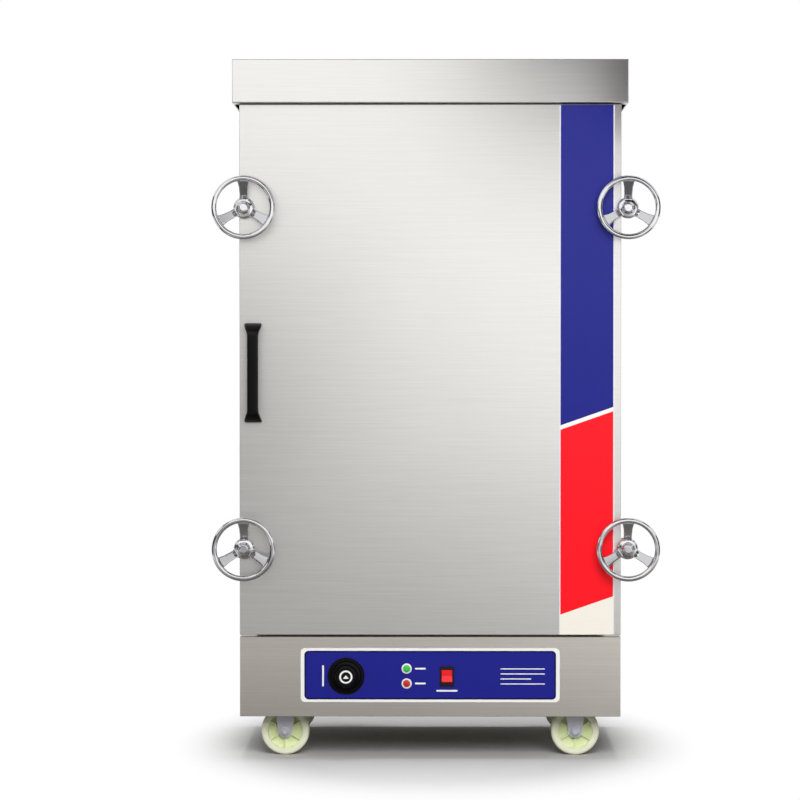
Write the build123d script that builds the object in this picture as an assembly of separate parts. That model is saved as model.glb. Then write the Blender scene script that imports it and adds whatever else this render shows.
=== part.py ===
from build123d import *
import math
import os

# Commercial pressure steamer: a steel cabinet on casters with one hinged door, all in millimetres.
# The cabinet is drawn about its own centre plane (x = 0), with y = 0 at the face that the door
# gasket presses on, +y to the back and z = 0 on the floor. The export moves it so that the origin
# is below the middle of the whole object.

# Trays, which set the size of the chamber and so of the whole cabinet
tray_count = 8
tray_pitch = 107.0
tray_length = 598.0
tray_depth = 400.0
tray_drop = 60.0
tray_sheet = 1.0
tray_rim = 13.0
tray_taper = 6.0
tray_side_gap = 7.0
tray_front_gap = 20.0
tray_back_gap = 20.0
first_tray_rise = 118.0
chamber_headroom = 80.0

# Walls around the chamber
side_wall = 24.0
back_wall = 40.0
floor_wall = 30.0
roof_wall = 30.0
insulation_gap = 0.5

# Sheets and small clearances
hood_sheet = 1.5
shell_sheet = 1.2
liner_sheet = 1.0
base_sheet = 2.0
panel_sheet = 2.0
film = 0.4
seat_gap = 0.3
running_gap = 0.05
edge_round = 2.0
past = 1.0

# Base, door and hood around the carcass
skirt_clearance = 81.0
base_height = 151.0
door_gap_below = 4.0
door_gap_above = 2.0
door_overlap = 30.0
hood_height = 82.0
hood_overlap = 42.5
hood_overhang = 20.0
hood_slope_drop = 58.0
base_setback = 4.0

# Door
door_thickness = 46.0
gasket_thickness = 8.0
gasket_width = 18.0
gasket_margin = 3.0
gasket_edge = 2.0
gasket_lip = 3.0
plug_inset = 33.0
plug_depth = 5.0
plug_bevel = 4.0
plug_fold = 5.0
pan_step = 14.0
foam_margin = 32.0
strip_width = 103.4
strip_inset = 12.8
strip_trim = 1.0

# Ladders of runners for the trays
rack_bar_width = 20.0
rack_bar = 3.0
rack_bar_inset = 40.0
rack_head_gap = 30.0
runner_width = 14.0
runner_height = 12.0
runner_sheet = 1.5

# Water tank, heater tubes and the slotted plate over them
tank_height = 46.0
tank_side_gap = 26.0
tank_front_gap = 20.0
tank_back_gap = 40.0
tank_sheet = 1.2
steam_plate_sheet = 1.5
steam_plate_lap = 6.0
steam_slot_width = 8.0
steam_slot_margin = 40.0
steam_slot_count = 12
heater_count = 3
heater_radius = 4.5
heater_bend = 32.0
heater_pitch = 150.0
heater_margin = 80.0
heater_height = 22.0
heater_foot_margin = 9.0
heater_foot = 6.0

# Handwheels
wheel_diameter = 120.0
wheel_tube = 10.2
wheel_dish = 34.0
wheel_hub_radius = 20.2
wheel_hub_length = 12.0
wheel_hub_bevel = 3.0
wheel_boss_radius = 9.6
wheel_boss_length = 24.0
wheel_bore_depth = 20.0
spoke_root = 16.4
spoke_start = 12.1
spoke_lift = 2.5
spoke_flare = 27.0
spoke_flare_start = 0.7
spoke_swell = 1.5
spoke_sheet = 5.5
spoke_count = 3
set_screw_radius = 1.6
set_screw_offset = 3.0
upper_wheel_below_top = 195.0
lower_wheel_above_bottom = 164.0
latch_inset = 9.0
hinge_offset = 12.0

# Turning dogs on the handle side
latch_shaft_radius = 5.0
latch_bush_radius = 7.6
dog_reach = 12.0
dog_radius = 6.5
dog_thickness = 8.0
keeper_clearance = 1.2
keeper_height = 24.0
keeper_thickness = 10.0
keeper_front = 14.0
keeper_lead = 2.0

# Screw hinges on the other side
hinge_axis_y = 20.0
hinge_bolt_radius = 6.0
hinge_eye_radius = 9.0
hinge_eye_height = 13.4
hinge_pin_radius = 5.0
hinge_pin_head = 3.0
hinge_pin_rim = 2.5
hinge_ear = 5.0
bracket_plate = 4.0
bracket_plate_height = 50.0
bracket_margin_front = 6.0
bracket_margin_back = 12.0
bracket_corner = 6.0
lug_thickness = 12.0
lug_half_height = 15.0
lug_overhang = 12.0
lug_corner = 8.0
shoulder_radius = 10.0
shoulder_thickness = 7.0
washer_radius = 14.0
washer_thickness = 4.0
washer_gap = 0.08

# Pull handle
handle_length = 188.0
handle_width = 21.0
handle_foot_width = 33.0
handle_foot_height = 20.0
handle_foot_lip = 6.0
handle_foot_taper = 2.0
handle_flare = 19.0
handle_shoulder = 16.0
handle_shoulder_step = 5.0
handle_grip_start = 32.0
handle_stand_off = 36.0
handle_bar = 11.0
handle_crest = 0.7
handle_crotch = 0.75
handle_round = 3.0
handle_inset = 26.3
handle_rise = 495.5

# Controls on the base panel, placed from the middle of their plate
plate_width = 490.0
plate_height = 102.3
plate_sheet = 1.0
plate_corner = 8.5
plate_rise = 78.5
knob_x = -158.9
knob_drop = 1.4
knob_skirt_radius = 34.7
knob_skirt = 5.0
knob_skirt_bevel = 1.7
knob_step_radius = 27.0
knob_step = 2.0
knob_grip_radius = 21.0
knob_grip = 17.0
knob_grip_bevel = 2.0
knob_shaft_radius = 3.0
knob_shaft_hole = 3.6
knob_shaft_reach = 12.0
thermostat_width = 48.0
thermostat_height = 36.0
thermostat_depth = 32.0
thermostat_bush_radius = 8.0
thermostat_bush = 3.0
lamp_x = -44.5
lamp_green_rise = 12.4
lamp_red_drop = 15.7
lamp_bezel_radius = 9.8
lamp_bezel = 2.5
lamp_bezel_bevel = 1.0
lamp_lens_radius = 6.6
lamp_lens = 2.5
lamp_lens_round = 2.0
lamp_barrel_radius = 5.6
lamp_barrel = 18.0
rocker_x = 31.7
rocker_drop = 2.5
rocker_frame_width = 27.5
rocker_frame_height = 38.1
rocker_frame_rim = 3.0
rocker_frame_wall = 1.2
rocker_frame_bevel = 1.0
rocker_hole_gap = 2.0
rocker_width = 19.6
rocker_radius = 13.0
rocker_front = 7.5
rocker_hollow = 5.5
rocker_back = 6.0
rocker_pivot_depth = 2.0
rocker_body_depth = 20.0
rocker_floor = 2.0
rocker_tilt = 11.0

# Casters
caster_wheel_radius = 46.0
caster_wheel_width = 32.0
caster_wheel_gap = 12.7
caster_trail = 22.0
caster_side_inset = 83.0
caster_front_inset = 32.0
caster_back_inset = 82.0
caster_plate = 3.0
caster_plate_length = 100.0
caster_plate_width = 80.0
caster_plate_corner = 8.0
caster_cup_radius = 26.0
caster_cup_height = 8.0
caster_cup_bevel = 2.0
caster_pin_radius = 6.0
caster_axle_radius = 5.0
caster_axle_head = 3.0
caster_axle_head_length = 5.0
fork_sheet = 2.5
fork_leg_radius = 12.5
fork_shoulder = 19.0
fork_shoulder_height = 81.0
fork_nose = 8.0
fork_crown = 3.0
caster_rib_count = 6
caster_rib = 3.0
caster_rib_recess = 3.0
caster_rib_bite = 1.0
caster_rim = 12.6
caster_hub_radius = 14.0
caster_web = 12.0
caster_tread_round = 5.0

# Fittings on the back
outlet_radius = 10.5
outlet_bore_radius = 7.5
outlet_length = 70.0
collar_radius = 15.0
collar_thickness = 6.0
drain_x = -180.0
inlet_x = -120.0
outlet_rise = 23.0
inlet_length = 40.0
gland_x = 230.0
gland_rise = 89.0
gland_radius = 13.0
gland_bore_radius = 6.5
gland_length = 28.0
gland_thread = 6.0
gland_nut = 8.0
gland_nut_rim = 4.0
gland_bevel = 3.0
vent_radius = 19.0
vent_bore_radius = 17.5
vent_length = 60.0
vent_collar = 8.0
vent_drop = 89.0
lever_length = 62.0
lever_width = 12.0
lever_sheet = 3.0
lever_eye = 2.0
stem_radius = 4.0
stem_seat = 3.0
stem_seat_rise = 2.0
stem_rise = 9.0
valve_wall = 1.0

# Heights and planes that follow from the sizes above
chamber_width = tray_length + 2 * tray_side_gap
chamber_depth = tray_front_gap + tray_depth + tray_back_gap
chamber_half = chamber_width / 2
carcass_half = chamber_half + side_wall
carcass_depth = chamber_depth + back_wall
door_half = carcass_half + door_overlap
base_half = door_half
hood_half = carcass_half + hood_overlap
base_bottom = skirt_clearance
base_top = base_bottom + base_height
liner_floor = base_top + floor_wall
first_tray_height = liner_floor + first_tray_rise
liner_roof = first_tray_height + (tray_count - 1) * tray_pitch + chamber_headroom
hood_bottom = liner_roof + roof_wall
hood_top = hood_bottom + hood_height
door_bottom = base_top + door_gap_below
door_top = hood_bottom - door_gap_above
door_back_y = -gasket_thickness
door_front_y = door_back_y - door_thickness
panel_front_y = door_front_y + base_setback
panel_back_y = panel_front_y + panel_sheet
hood_front_y = door_front_y - hood_overhang
tank_half = chamber_half - tank_side_gap
tank_front_y = tank_front_gap
tank_back_y = chamber_depth - tank_back_gap
wheel_back_y = door_front_y - washer_thickness - 2 * seat_gap
keeper_back = keeper_front + keeper_thickness
latch_axis_x = door_half - latch_inset
hinge_axis_x = door_half + hinge_offset
upper_wheel_height = door_top - upper_wheel_below_top
lower_wheel_height = door_bottom + lower_wheel_above_bottom
wheel_heights = {"upper": upper_wheel_height, "lower": lower_wheel_height}
plate_centre_z = base_bottom + plate_rise
knob_z = plate_centre_z - knob_drop
lamp_green_z = plate_centre_z + lamp_green_rise
lamp_red_z = plate_centre_z - lamp_red_drop
rocker_z = plate_centre_z - rocker_drop
outlet_z = liner_floor + outlet_rise
vent_z = liner_roof - vent_drop
gland_z = base_bottom + gland_rise
fork_top = 2 * caster_wheel_radius + caster_wheel_gap + fork_crown
caster_mount_height = fork_top + seat_gap + caster_cup_height + caster_plate

# The middle of the whole object, which becomes the origin
centre_x = (hinge_axis_x - latch_axis_x) / 2
front_reach_y = wheel_back_y - wheel_dish - wheel_tube / 2
back_reach_y = carcass_depth + outlet_length
centre_y = (front_reach_y + back_reach_y) / 2


def block(x0, x1, y0, y1, z0, z1):
    """A box between two corners."""
    return Pos((x0 + x1) / 2, (y0 + y1) / 2, (z0 + z1) / 2) * Box(x1 - x0, y1 - y0, z1 - z0)


def rod_y(radius, x, z, y0, y1):
    """A round bar along y."""
    return Pos(x, (y0 + y1) / 2, z) * Rot(X=90) * Cylinder(radius, y1 - y0)


def rod_z(radius, x, y, z0, z1):
    """A round bar along z."""
    return Pos(x, y, (z0 + z1) / 2) * Cylinder(radius, z1 - z0)


def outline_y(points, y0, y1):
    """An outline in x and z, carried from y0 to y1."""
    return extrude(Plane.XZ.offset(-y0) * Polygon(*points, align=None), amount=y1 - y0, dir=(0, 1, 0))


def outline_x(points, x0, x1):
    """An outline in y and z, carried from x0 to x1."""
    return extrude(Plane.YZ.offset(x0) * Polygon(*points, align=None), amount=x1 - x0, dir=(1, 0, 0))


def group(pieces):
    """Several separate solids as one node."""
    return Compound([solid for piece in pieces for solid in piece.solids()])


def hood_outline(inset):
    """The hood's section across the cabinet, open at the bottom when it is inset."""
    half = hood_half
    neck = carcass_half + seat_gap
    slope = hood_slope_drop / (half - neck)
    lift = inset * math.hypot(1, slope)
    corner_x = half - inset
    corner_z = hood_bottom + lift - inset * slope
    foot_z = hood_bottom - hood_slope_drop + lift
    right = [(corner_x, hood_top - inset), (corner_x, corner_z), (neck, foot_z)]
    if inset:
        right.append((neck, hood_bottom - hood_slope_drop - past))
    return [(-x, z) for x, z in reversed(right)] + right


def hood():
    """Folded hood: a box over the door, and a roof whose sides slope back to the carcass."""
    half = hood_half
    roof = outline_y(hood_outline(0), 0, carcass_depth)
    roof -= outline_y(hood_outline(hood_sheet), 0, carcass_depth - hood_sheet)
    neck = carcass_half + seat_gap
    roof -= block(
        -neck, neck, -past, carcass_depth + past, hood_bottom - hood_slope_drop - past, hood_bottom
    )
    brow = block(-half, half, hood_front_y, 0, hood_bottom, hood_top)
    brow = fillet(brow.edges().group_by(Axis.Y)[0], edge_round)
    inner = hood_sheet
    brow -= block(
        -half + inner, half - inner, hood_front_y + inner, past, hood_bottom + inner, hood_top - inner
    )
    return roof + brow


def outer_shell():
    """Wrapped sides and top of the carcass."""
    outer = block(-carcass_half, carcass_half, 0, carcass_depth, base_top, hood_bottom)
    inner_half = carcass_half - shell_sheet
    return outer - block(
        -inner_half, inner_half, -past, carcass_depth + past, base_top - past, hood_bottom - shell_sheet
    )


def back_fitting_holes():
    """Cutters for the pipes that pass through the back."""
    y0 = chamber_depth - past
    y1 = carcass_depth + past
    gap = seat_gap
    cutters = rod_y(outlet_radius + gap, drain_x, outlet_z, y0, y1)
    cutters += rod_y(outlet_radius + gap, inlet_x, outlet_z, y0, y1)
    cutters += rod_y(vent_radius + gap, 0, vent_z, y0, y1)
    return cutters


def back_panel():
    """Flat back of the carcass, inside the shell's edges."""
    half = carcass_half - shell_sheet
    y0 = carcass_depth - shell_sheet
    sheet = block(-half, half, y0, carcass_depth, base_top, hood_bottom - shell_sheet)
    return sheet - back_fitting_holes()


def chamber_liner():
    """Inner box with the flange that the gasket presses on."""
    t = liner_sheet
    outer = block(-chamber_half - t, chamber_half + t, 0, chamber_depth + t, liner_floor - t, liner_roof + t)
    flange_half = carcass_half - shell_sheet
    outer += block(-flange_half, flange_half, 0, t, base_top, hood_bottom - shell_sheet)
    cavity = block(-chamber_half, chamber_half, -past, chamber_depth, liner_floor, liner_roof)
    return outer - cavity - back_fitting_holes()


def insulation():
    """Insulating boards between the liner and the shell."""
    t = liner_sheet + insulation_gap
    half = carcass_half - shell_sheet - insulation_gap
    back = carcass_depth - shell_sheet - insulation_gap
    top = hood_bottom - shell_sheet - insulation_gap
    boards = block(-half, half, t, back, base_top, top)
    inner = chamber_half + t
    boards -= block(-inner, inner, 0, chamber_depth + t, liner_floor - t, liner_roof + t)
    return boards - back_fitting_holes()


def base_chassis():
    """Base box: a raised floor for the casters, and a top that the carcass stands on."""
    half = base_half
    t = base_sheet
    box = block(-half, half, panel_back_y, carcass_depth, base_bottom, base_top)
    floor_top = caster_mount_height + t
    front = panel_back_y - past
    back = carcass_depth - t
    box -= block(-half + t, half - t, front, back, floor_top, base_top - t)
    box -= block(-half + t, half - t, front, back, base_bottom - past, caster_mount_height)
    return box - rod_y(gland_radius + seat_gap, gland_x, gland_z, back - past, carcass_depth + past)


def base_panel():
    """Front panel of the base, with the openings behind the control plate."""
    half = base_half
    panel = block(-half, half, panel_front_y, panel_back_y, base_bottom, base_top)
    front = panel.faces().sort_by(Axis.Y)[0]
    panel = chamfer(front.edges(), panel_sheet / 4)
    return panel - control_holes()


def control_holes():
    """Cutters for the shaft, the lamps and the switch."""
    y0 = panel_front_y - plate_sheet - past
    y1 = panel_back_y + past
    cutters = rod_y(knob_shaft_hole, knob_x, knob_z, y0, y1)
    for lamp_z in (lamp_green_z, lamp_red_z):
        cutters += rod_y(lamp_barrel_radius + seat_gap, lamp_x, lamp_z, y0, y1)
    half_width = rocker_width / 2 + rocker_hole_gap
    half_height = rocker_radius + rocker_hole_gap
    cutters += block(
        rocker_x - half_width, rocker_x + half_width, y0, y1, rocker_z - half_height, rocker_z + half_height
    )
    return cutters


def control_plate():
    """Rounded plate on the base panel that carries the controls."""
    centre = Plane.XZ.offset(-panel_front_y + plate_sheet) * Pos(0, plate_centre_z)
    face = centre * RectangleRounded(plate_width, plate_height, plate_corner)
    return extrude(face, amount=plate_sheet, dir=(0, 1, 0)) - control_holes()


def knob():
    """Turning knob: a skirt with a step, a waisted grip and its shaft."""
    plate_y = panel_front_y - plate_sheet
    skirt_y = plate_y - seat_gap
    skirt = rod_y(knob_skirt_radius, knob_x, knob_z, skirt_y - knob_skirt, skirt_y)
    skirt = chamfer(skirt.edges().group_by(Axis.Y)[0], knob_skirt_bevel)
    grip_back = skirt_y - knob_skirt - knob_step
    step = rod_y(knob_step_radius, knob_x, knob_z, grip_back, grip_back + knob_step)
    grip = rod_y(knob_grip_radius, knob_x, knob_z, grip_back - knob_grip, grip_back)
    grip = chamfer(grip.edges().group_by(Axis.Y)[0], knob_grip_bevel)
    shaft = rod_y(knob_shaft_radius, knob_x, knob_z, skirt_y, panel_back_y + knob_shaft_reach)
    return skirt + step + grip + shaft


def thermostat():
    """Thermostat behind the panel, whose bush takes the knob's shaft."""
    bush = rod_y(thermostat_bush_radius, knob_x, knob_z, panel_back_y, panel_back_y + thermostat_bush)
    half_width = thermostat_width / 2
    half_height = thermostat_height / 2
    y0 = panel_back_y + thermostat_bush
    body = block(
        knob_x - half_width, knob_x + half_width, y0, y0 + thermostat_depth,
        knob_z - half_height, knob_z + half_height,
    )
    bore_end = panel_back_y + knob_shaft_reach + past
    bore = rod_y(knob_shaft_radius + running_gap, knob_x, knob_z, panel_back_y - past, bore_end)
    return body + bush - bore


def lamp(lamp_z):
    """Indicator lamp: barrel, bezel and a domed lens."""
    plate_y = panel_front_y - plate_sheet
    bezel_y = plate_y - lamp_bezel
    barrel = rod_y(lamp_barrel_radius, lamp_x, lamp_z, plate_y, panel_back_y + lamp_barrel)
    bezel = rod_y(lamp_bezel_radius, lamp_x, lamp_z, bezel_y, plate_y)
    bezel = chamfer(bezel.edges().group_by(Axis.Y)[0], lamp_bezel_bevel)
    lens = rod_y(lamp_lens_radius, lamp_x, lamp_z, bezel_y - lamp_lens, bezel_y)
    lens = fillet(lens.edges().group_by(Axis.Y)[0], lamp_lens_round)
    return barrel + bezel + lens


def rocker_frame():
    """Black frame of the switch, with its body behind the panel."""
    plate_y = panel_front_y - plate_sheet
    half_width = rocker_frame_width / 2
    half_height = rocker_frame_height / 2
    rim = block(
        rocker_x - half_width, rocker_x + half_width, plate_y - rocker_frame_rim, plate_y,
        rocker_z - half_height, rocker_z + half_height,
    )
    rim = chamfer(rim.faces().sort_by(Axis.Y)[0].edges(), rocker_frame_bevel)
    inner_width = rocker_width / 2 + seat_gap
    inner_height = rocker_radius + seat_gap
    wide = inner_width + rocker_frame_wall
    high = inner_height + rocker_frame_wall
    back_y = plate_y + rocker_body_depth
    body = block(rocker_x - wide, rocker_x + wide, plate_y, back_y, rocker_z - high, rocker_z + high)
    front_y = plate_y - rocker_frame_rim - past
    window = block(
        rocker_x - inner_width, rocker_x + inner_width, front_y, back_y - rocker_floor,
        rocker_z - inner_height, rocker_z + inner_height,
    )
    return rim + body - window


def rocker():
    """Red rocker with two faces, tipped so that its upper half is pressed in."""
    pivot_y = panel_front_y - plate_sheet + rocker_pivot_depth
    drum = Rot(Y=90) * Cylinder(rocker_radius, rocker_width)
    reach = rocker_radius
    section = [
        (-rocker_front, reach), (-rocker_hollow, 0), (-rocker_front, -reach), (rocker_back, -reach),
        (rocker_back, reach),
    ]
    drum &= outline_x(section, -rocker_width / 2, rocker_width / 2)
    return Pos(rocker_x, pivot_y, rocker_z) * Rot(X=-rocker_tilt) * drum


def door_holes():
    """Cutters for the latch shafts through the door."""
    cutters = None
    for height in wheel_heights.values():
        hole = rod_y(latch_bush_radius, -latch_axis_x, height, door_front_y - past, 0)
        cutters = hole if cutters is None else cutters + hole
    return cutters


def door_skin():
    """Front sheet of the door with its folded edges."""
    t = shell_sheet
    skin = block(-door_half, door_half, door_front_y, door_back_y, door_bottom, door_top)
    front = skin.faces().sort_by(Axis.Y)[0]
    skin = fillet(front.edges(), edge_round / 2)
    skin -= block(
        -door_half + t, door_half - t, door_front_y + t, door_back_y + past, door_bottom + t, door_top - t
    )
    return skin - door_holes()


def door_pan():
    """Inner sheet of the door, with a raised panel that stands inside the gasket."""
    t = shell_sheet
    pan = block(
        -door_half + t, door_half - t, door_back_y - t, door_back_y, door_bottom + t, door_top - t
    )
    half = carcass_half - plug_inset
    low = liner_floor + pan_step
    high = liner_roof - pan_step
    raised = block(-half, half, door_back_y, door_back_y + plug_depth, low, high)
    raised = chamfer(raised.faces().sort_by(Axis.Y)[-1].edges(), plug_bevel)
    pan += raised
    hollow = half - plug_fold
    floor_y = door_back_y + plug_depth - t
    pan -= block(-hollow, hollow, door_back_y - t - past, floor_y, low + plug_fold, high - plug_fold)
    return pan - door_holes()


def door_insulation():
    """Insulating board inside the door, short of the edges that hold the fittings."""
    t = shell_sheet
    half = door_half - foam_margin
    return block(
        -half, half, door_front_y + t, door_back_y - t, door_bottom + foam_margin, door_top - foam_margin
    )


def door_gasket():
    """Rubber ring on the door's back, with a chamfered sealing lip."""
    outer_half = carcass_half - shell_sheet - gasket_edge
    inner_half = outer_half - gasket_width
    low = liner_floor - gasket_margin
    high = liner_roof + gasket_margin
    outer = block(-outer_half, outer_half, door_back_y, -seat_gap, low - gasket_width, high + gasket_width)
    ring = outer - block(-inner_half, inner_half, door_back_y - past, past, low, high)
    return chamfer(ring.faces().sort_by(Axis.Y)[-1].edges(), gasket_lip)


def door_strip():
    """Thin coloured film along the hinge side of the door."""
    x1 = door_half - strip_inset
    low = door_bottom + strip_trim
    high = door_top - strip_trim
    return block(x1 - strip_width, x1, door_front_y - film, door_front_y, low, high)


def door_handle():
    """Pull handle: a bar with two feet, waisted between them."""
    half = handle_length / 2
    out = handle_stand_off
    inner = out - handle_bar
    shoulder = half - handle_shoulder
    root = half - handle_foot_height
    step = handle_shoulder_step
    grip = half - handle_grip_start
    crest = out * handle_crest
    crotch = inner * handle_crotch
    upper = [(0, half), (-crest, half - step), (-out, shoulder), (-inner, grip), (-crotch, root - step), (0, root)]
    lower = [(y, -z) for y, z in upper]
    side = upper[:3] + lower[2::-1] + lower[:2:-1] + upper[3:]
    foot = handle_foot_width / 2
    waist = handle_width / 2
    ankle = foot - handle_foot_taper
    quarter = [(foot, half), (ankle, half - handle_foot_lip), (waist, half - handle_flare)]
    right = quarter + [(x, -z) for x, z in reversed(quarter)]
    front = right + [(-x, z) for x, z in reversed(right)]
    bar = outline_x(side, -foot, foot) & outline_y(front, -out - past, past)
    bar = fillet(bar.edges().filter_by(Axis.Z).group_by(Axis.Y)[0], handle_round)
    return Pos(-door_half + handle_inset, door_front_y, door_bottom + handle_rise) * bar


def handwheel():
    """Dished wheel with three flared spokes, drawn facing +z with the back of its hub at z = 0."""
    rim_radius = wheel_diameter / 2 - wheel_tube / 2
    wheel = Pos(0, 0, wheel_dish) * Torus(rim_radius, wheel_tube / 2)
    hub = Pos(0, 0, wheel_hub_length / 2) * Cylinder(wheel_hub_radius, wheel_hub_length)
    hub = chamfer(hub.edges().group_by(Axis.Z)[-1], wheel_hub_bevel)
    boss = Pos(0, 0, wheel_boss_length / 2) * Cylinder(wheel_boss_radius, wheel_boss_length)
    boss = fillet(boss.edges().group_by(Axis.Z)[-1], wheel_hub_bevel)
    wheel += hub + boss
    root = spoke_start
    low = spoke_lift
    half = spoke_sheet / 2
    slant = Plane.XZ * Polygon(
        (root, low), (rim_radius, wheel_dish - half), (rim_radius, wheel_dish + half), (root, low + 2 * half),
        align=None,
    )
    bar = extrude(slant, amount=spoke_flare, both=True)
    bend = rim_radius * spoke_flare_start
    edge = [(root, spoke_root / 2), (bend, spoke_root / 2 + spoke_swell), (rim_radius, spoke_flare / 2)]
    plan = Polygon(*[(x, -y) for x, y in edge], *reversed(edge), align=None)
    spoke = bar & extrude(plan, amount=wheel_dish * 2, dir=(0, 0, 1))
    for turn in range(spoke_count):
        wheel += Rot(Z=90 + turn * 360 / spoke_count) * spoke
    hole = Pos(wheel_hub_radius + set_screw_offset, 0, 0) * Cylinder(set_screw_radius, 2 * wheel_dish)
    return wheel - Rot(Z=90 - 360 / spoke_count) * hole


def placed_handwheel(x, height, bore_radius):
    """A handwheel turned to the front, with a blind bore for its shaft."""
    bore = Pos(0, 0, (wheel_bore_depth - past) / 2) * Cylinder(bore_radius, wheel_bore_depth + past)
    return Pos(x, wheel_back_y, height) * Rot(X=90) * (handwheel() - bore)


def latch_bushes():
    """Bushes inside the door that carry the latch shafts."""
    bushes = []
    for height in wheel_heights.values():
        bush = rod_y(latch_bush_radius, -latch_axis_x, height, door_front_y, door_back_y)
        bush += rod_y(washer_radius, -latch_axis_x, height, wheel_back_y + seat_gap, door_front_y)
        bore = rod_y(latch_shaft_radius + running_gap, -latch_axis_x, height, wheel_back_y, 0)
        bushes.append(bush - bore)
    return group(bushes)


def latch_shaft(height):
    """Shaft through the door with a dog at its inner end, drawn with the dog upright."""
    dog_front = keeper_back + seat_gap
    dog_back = dog_front + dog_thickness
    tip = wheel_back_y - wheel_bore_depth + past
    shaft = rod_y(latch_shaft_radius, -latch_axis_x, height, tip, dog_back)
    eye = rod_y(dog_radius, -latch_axis_x, height, dog_front, dog_back)
    nose = rod_y(dog_radius, -latch_axis_x, height + dog_reach, dog_front, dog_back)
    x0 = -latch_axis_x - dog_radius
    finger = block(x0, x0 + 2 * dog_radius, dog_front, dog_back, height, height + dog_reach)
    return shaft + eye + nose + finger


def keeper(height):
    """Block on the carcass side that the dog turns behind, with a lead-in on its edge."""
    x0 = -latch_axis_x + dog_radius + keeper_clearance
    half = keeper_height / 2
    body = block(x0, -carcass_half, keeper_front, keeper_back, height - half, height + half)
    return chamfer(body.faces().sort_by(Axis.X)[0].edges().group_by(Axis.Z)[-1], keeper_lead)


def hinge_bracket(height):
    """Wall plate with two rounded ears around the hinge pin."""
    plate_x = carcass_half + bracket_plate
    half_plate = bracket_plate_height / 2
    y0 = hinge_axis_y - hinge_eye_radius
    y1 = hinge_axis_y + hinge_eye_radius
    bracket = block(
        carcass_half, plate_x, y0 - bracket_margin_front, y1 + bracket_margin_back,
        height - half_plate, height + half_plate,
    )
    bracket = fillet(bracket.edges().filter_by(Axis.X), bracket_corner)
    inner = hinge_eye_height / 2 + seat_gap
    for low in (height - inner - hinge_ear, height + inner):
        ear = block(plate_x, hinge_axis_x, y0, y1, low, low + hinge_ear)
        ear += rod_z(hinge_eye_radius, hinge_axis_x, hinge_axis_y, low, low + hinge_ear)
        bore_radius = hinge_pin_radius + running_gap
        ear -= rod_z(bore_radius, hinge_axis_x, hinge_axis_y, low - past, low + hinge_ear + past)
        bracket += ear
    return bracket


def wall_brackets():
    """Everything welded to the carcass sides: two keepers and two hinge brackets."""
    pieces = []
    for height in wheel_heights.values():
        pieces += [keeper(height), hinge_bracket(height)]
    return group(pieces)


def hinge_pins():
    """Headed pins through the hinge brackets."""
    pins = []
    reach = hinge_eye_height / 2 + seat_gap + hinge_ear
    for height in wheel_heights.values():
        top = height + reach
        head_radius = hinge_pin_radius + hinge_pin_rim
        pin = rod_z(hinge_pin_radius, hinge_axis_x, hinge_axis_y, height - reach - hinge_pin_head, top)
        pins.append(pin + rod_z(head_radius, hinge_axis_x, hinge_axis_y, top, top + hinge_pin_head))
    return group(pins)


def hinge_bolts():
    """Eye bolts that hang on the hinge pins and carry the door."""
    bolts = []
    tip = wheel_back_y - wheel_bore_depth + past
    lug_back = door_front_y + lug_thickness
    for height in wheel_heights.values():
        half = hinge_eye_height / 2
        eye = rod_z(hinge_eye_radius, hinge_axis_x, hinge_axis_y, height - half, height + half)
        bolt = eye + rod_y(hinge_bolt_radius, hinge_axis_x, height, tip, hinge_axis_y)
        bolt += rod_y(shoulder_radius, hinge_axis_x, height, lug_back, lug_back + shoulder_thickness)
        bore_radius = hinge_pin_radius + running_gap
        bolt -= rod_z(bore_radius, hinge_axis_x, hinge_axis_y, height - half - past, height + half + past)
        bolts.append(bolt)
    return group(bolts)


def hinge_lugs():
    """Lugs welded to the door's edge, which the eye bolts pass through."""
    lugs = []
    y0 = door_front_y
    y1 = y0 + lug_thickness
    for height in wheel_heights.values():
        x1 = hinge_axis_x + lug_overhang
        lug = block(door_half, x1, y0, y1, height - lug_half_height, height + lug_half_height)
        lug = fillet(lug.edges().filter_by(Axis.Y).group_by(Axis.X)[-1], lug_corner)
        lugs.append(lug - rod_y(hinge_bolt_radius + running_gap, hinge_axis_x, height, y0 - past, y1 + past))
    return group(lugs)


def hinge_washer(height):
    """Thrust washer that moves along the bolt with its handwheel."""
    y0 = wheel_back_y + seat_gap
    y1 = door_front_y - seat_gap
    ring = rod_y(washer_radius, hinge_axis_x, height, y0, y1)
    return ring - rod_y(hinge_bolt_radius + washer_gap, hinge_axis_x, height, y0 - past, y1 + past)


def tray(index):
    """Tapered tray with a flat rim that rests on its pair of runners."""
    z = first_tray_height + index * tray_pitch
    y0 = tray_front_gap
    y1 = y0 + tray_depth
    t = tray_sheet
    half = tray_length / 2
    well = half - tray_rim
    centre = (y0 + y1) / 2
    well_depth = tray_depth - 2 * tray_rim
    mouth = Pos(0, centre, z) * Rectangle(2 * well, well_depth)
    floor = Pos(0, centre, z - tray_drop) * Rectangle(2 * (well - tray_taper), well_depth - 2 * tray_taper)
    inner_mouth = Pos(0, centre, z + t) * Rectangle(2 * (well - t), well_depth - 2 * t)
    inner_floor = Pos(0, centre, z - tray_drop + t) * Rectangle(
        2 * (well - tray_taper - t), well_depth - 2 * (tray_taper + t)
    )
    rim = block(-half, half, y0, y1, z, z + t)
    return rim + loft([floor, mouth]) - loft([inner_floor, inner_mouth])


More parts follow.
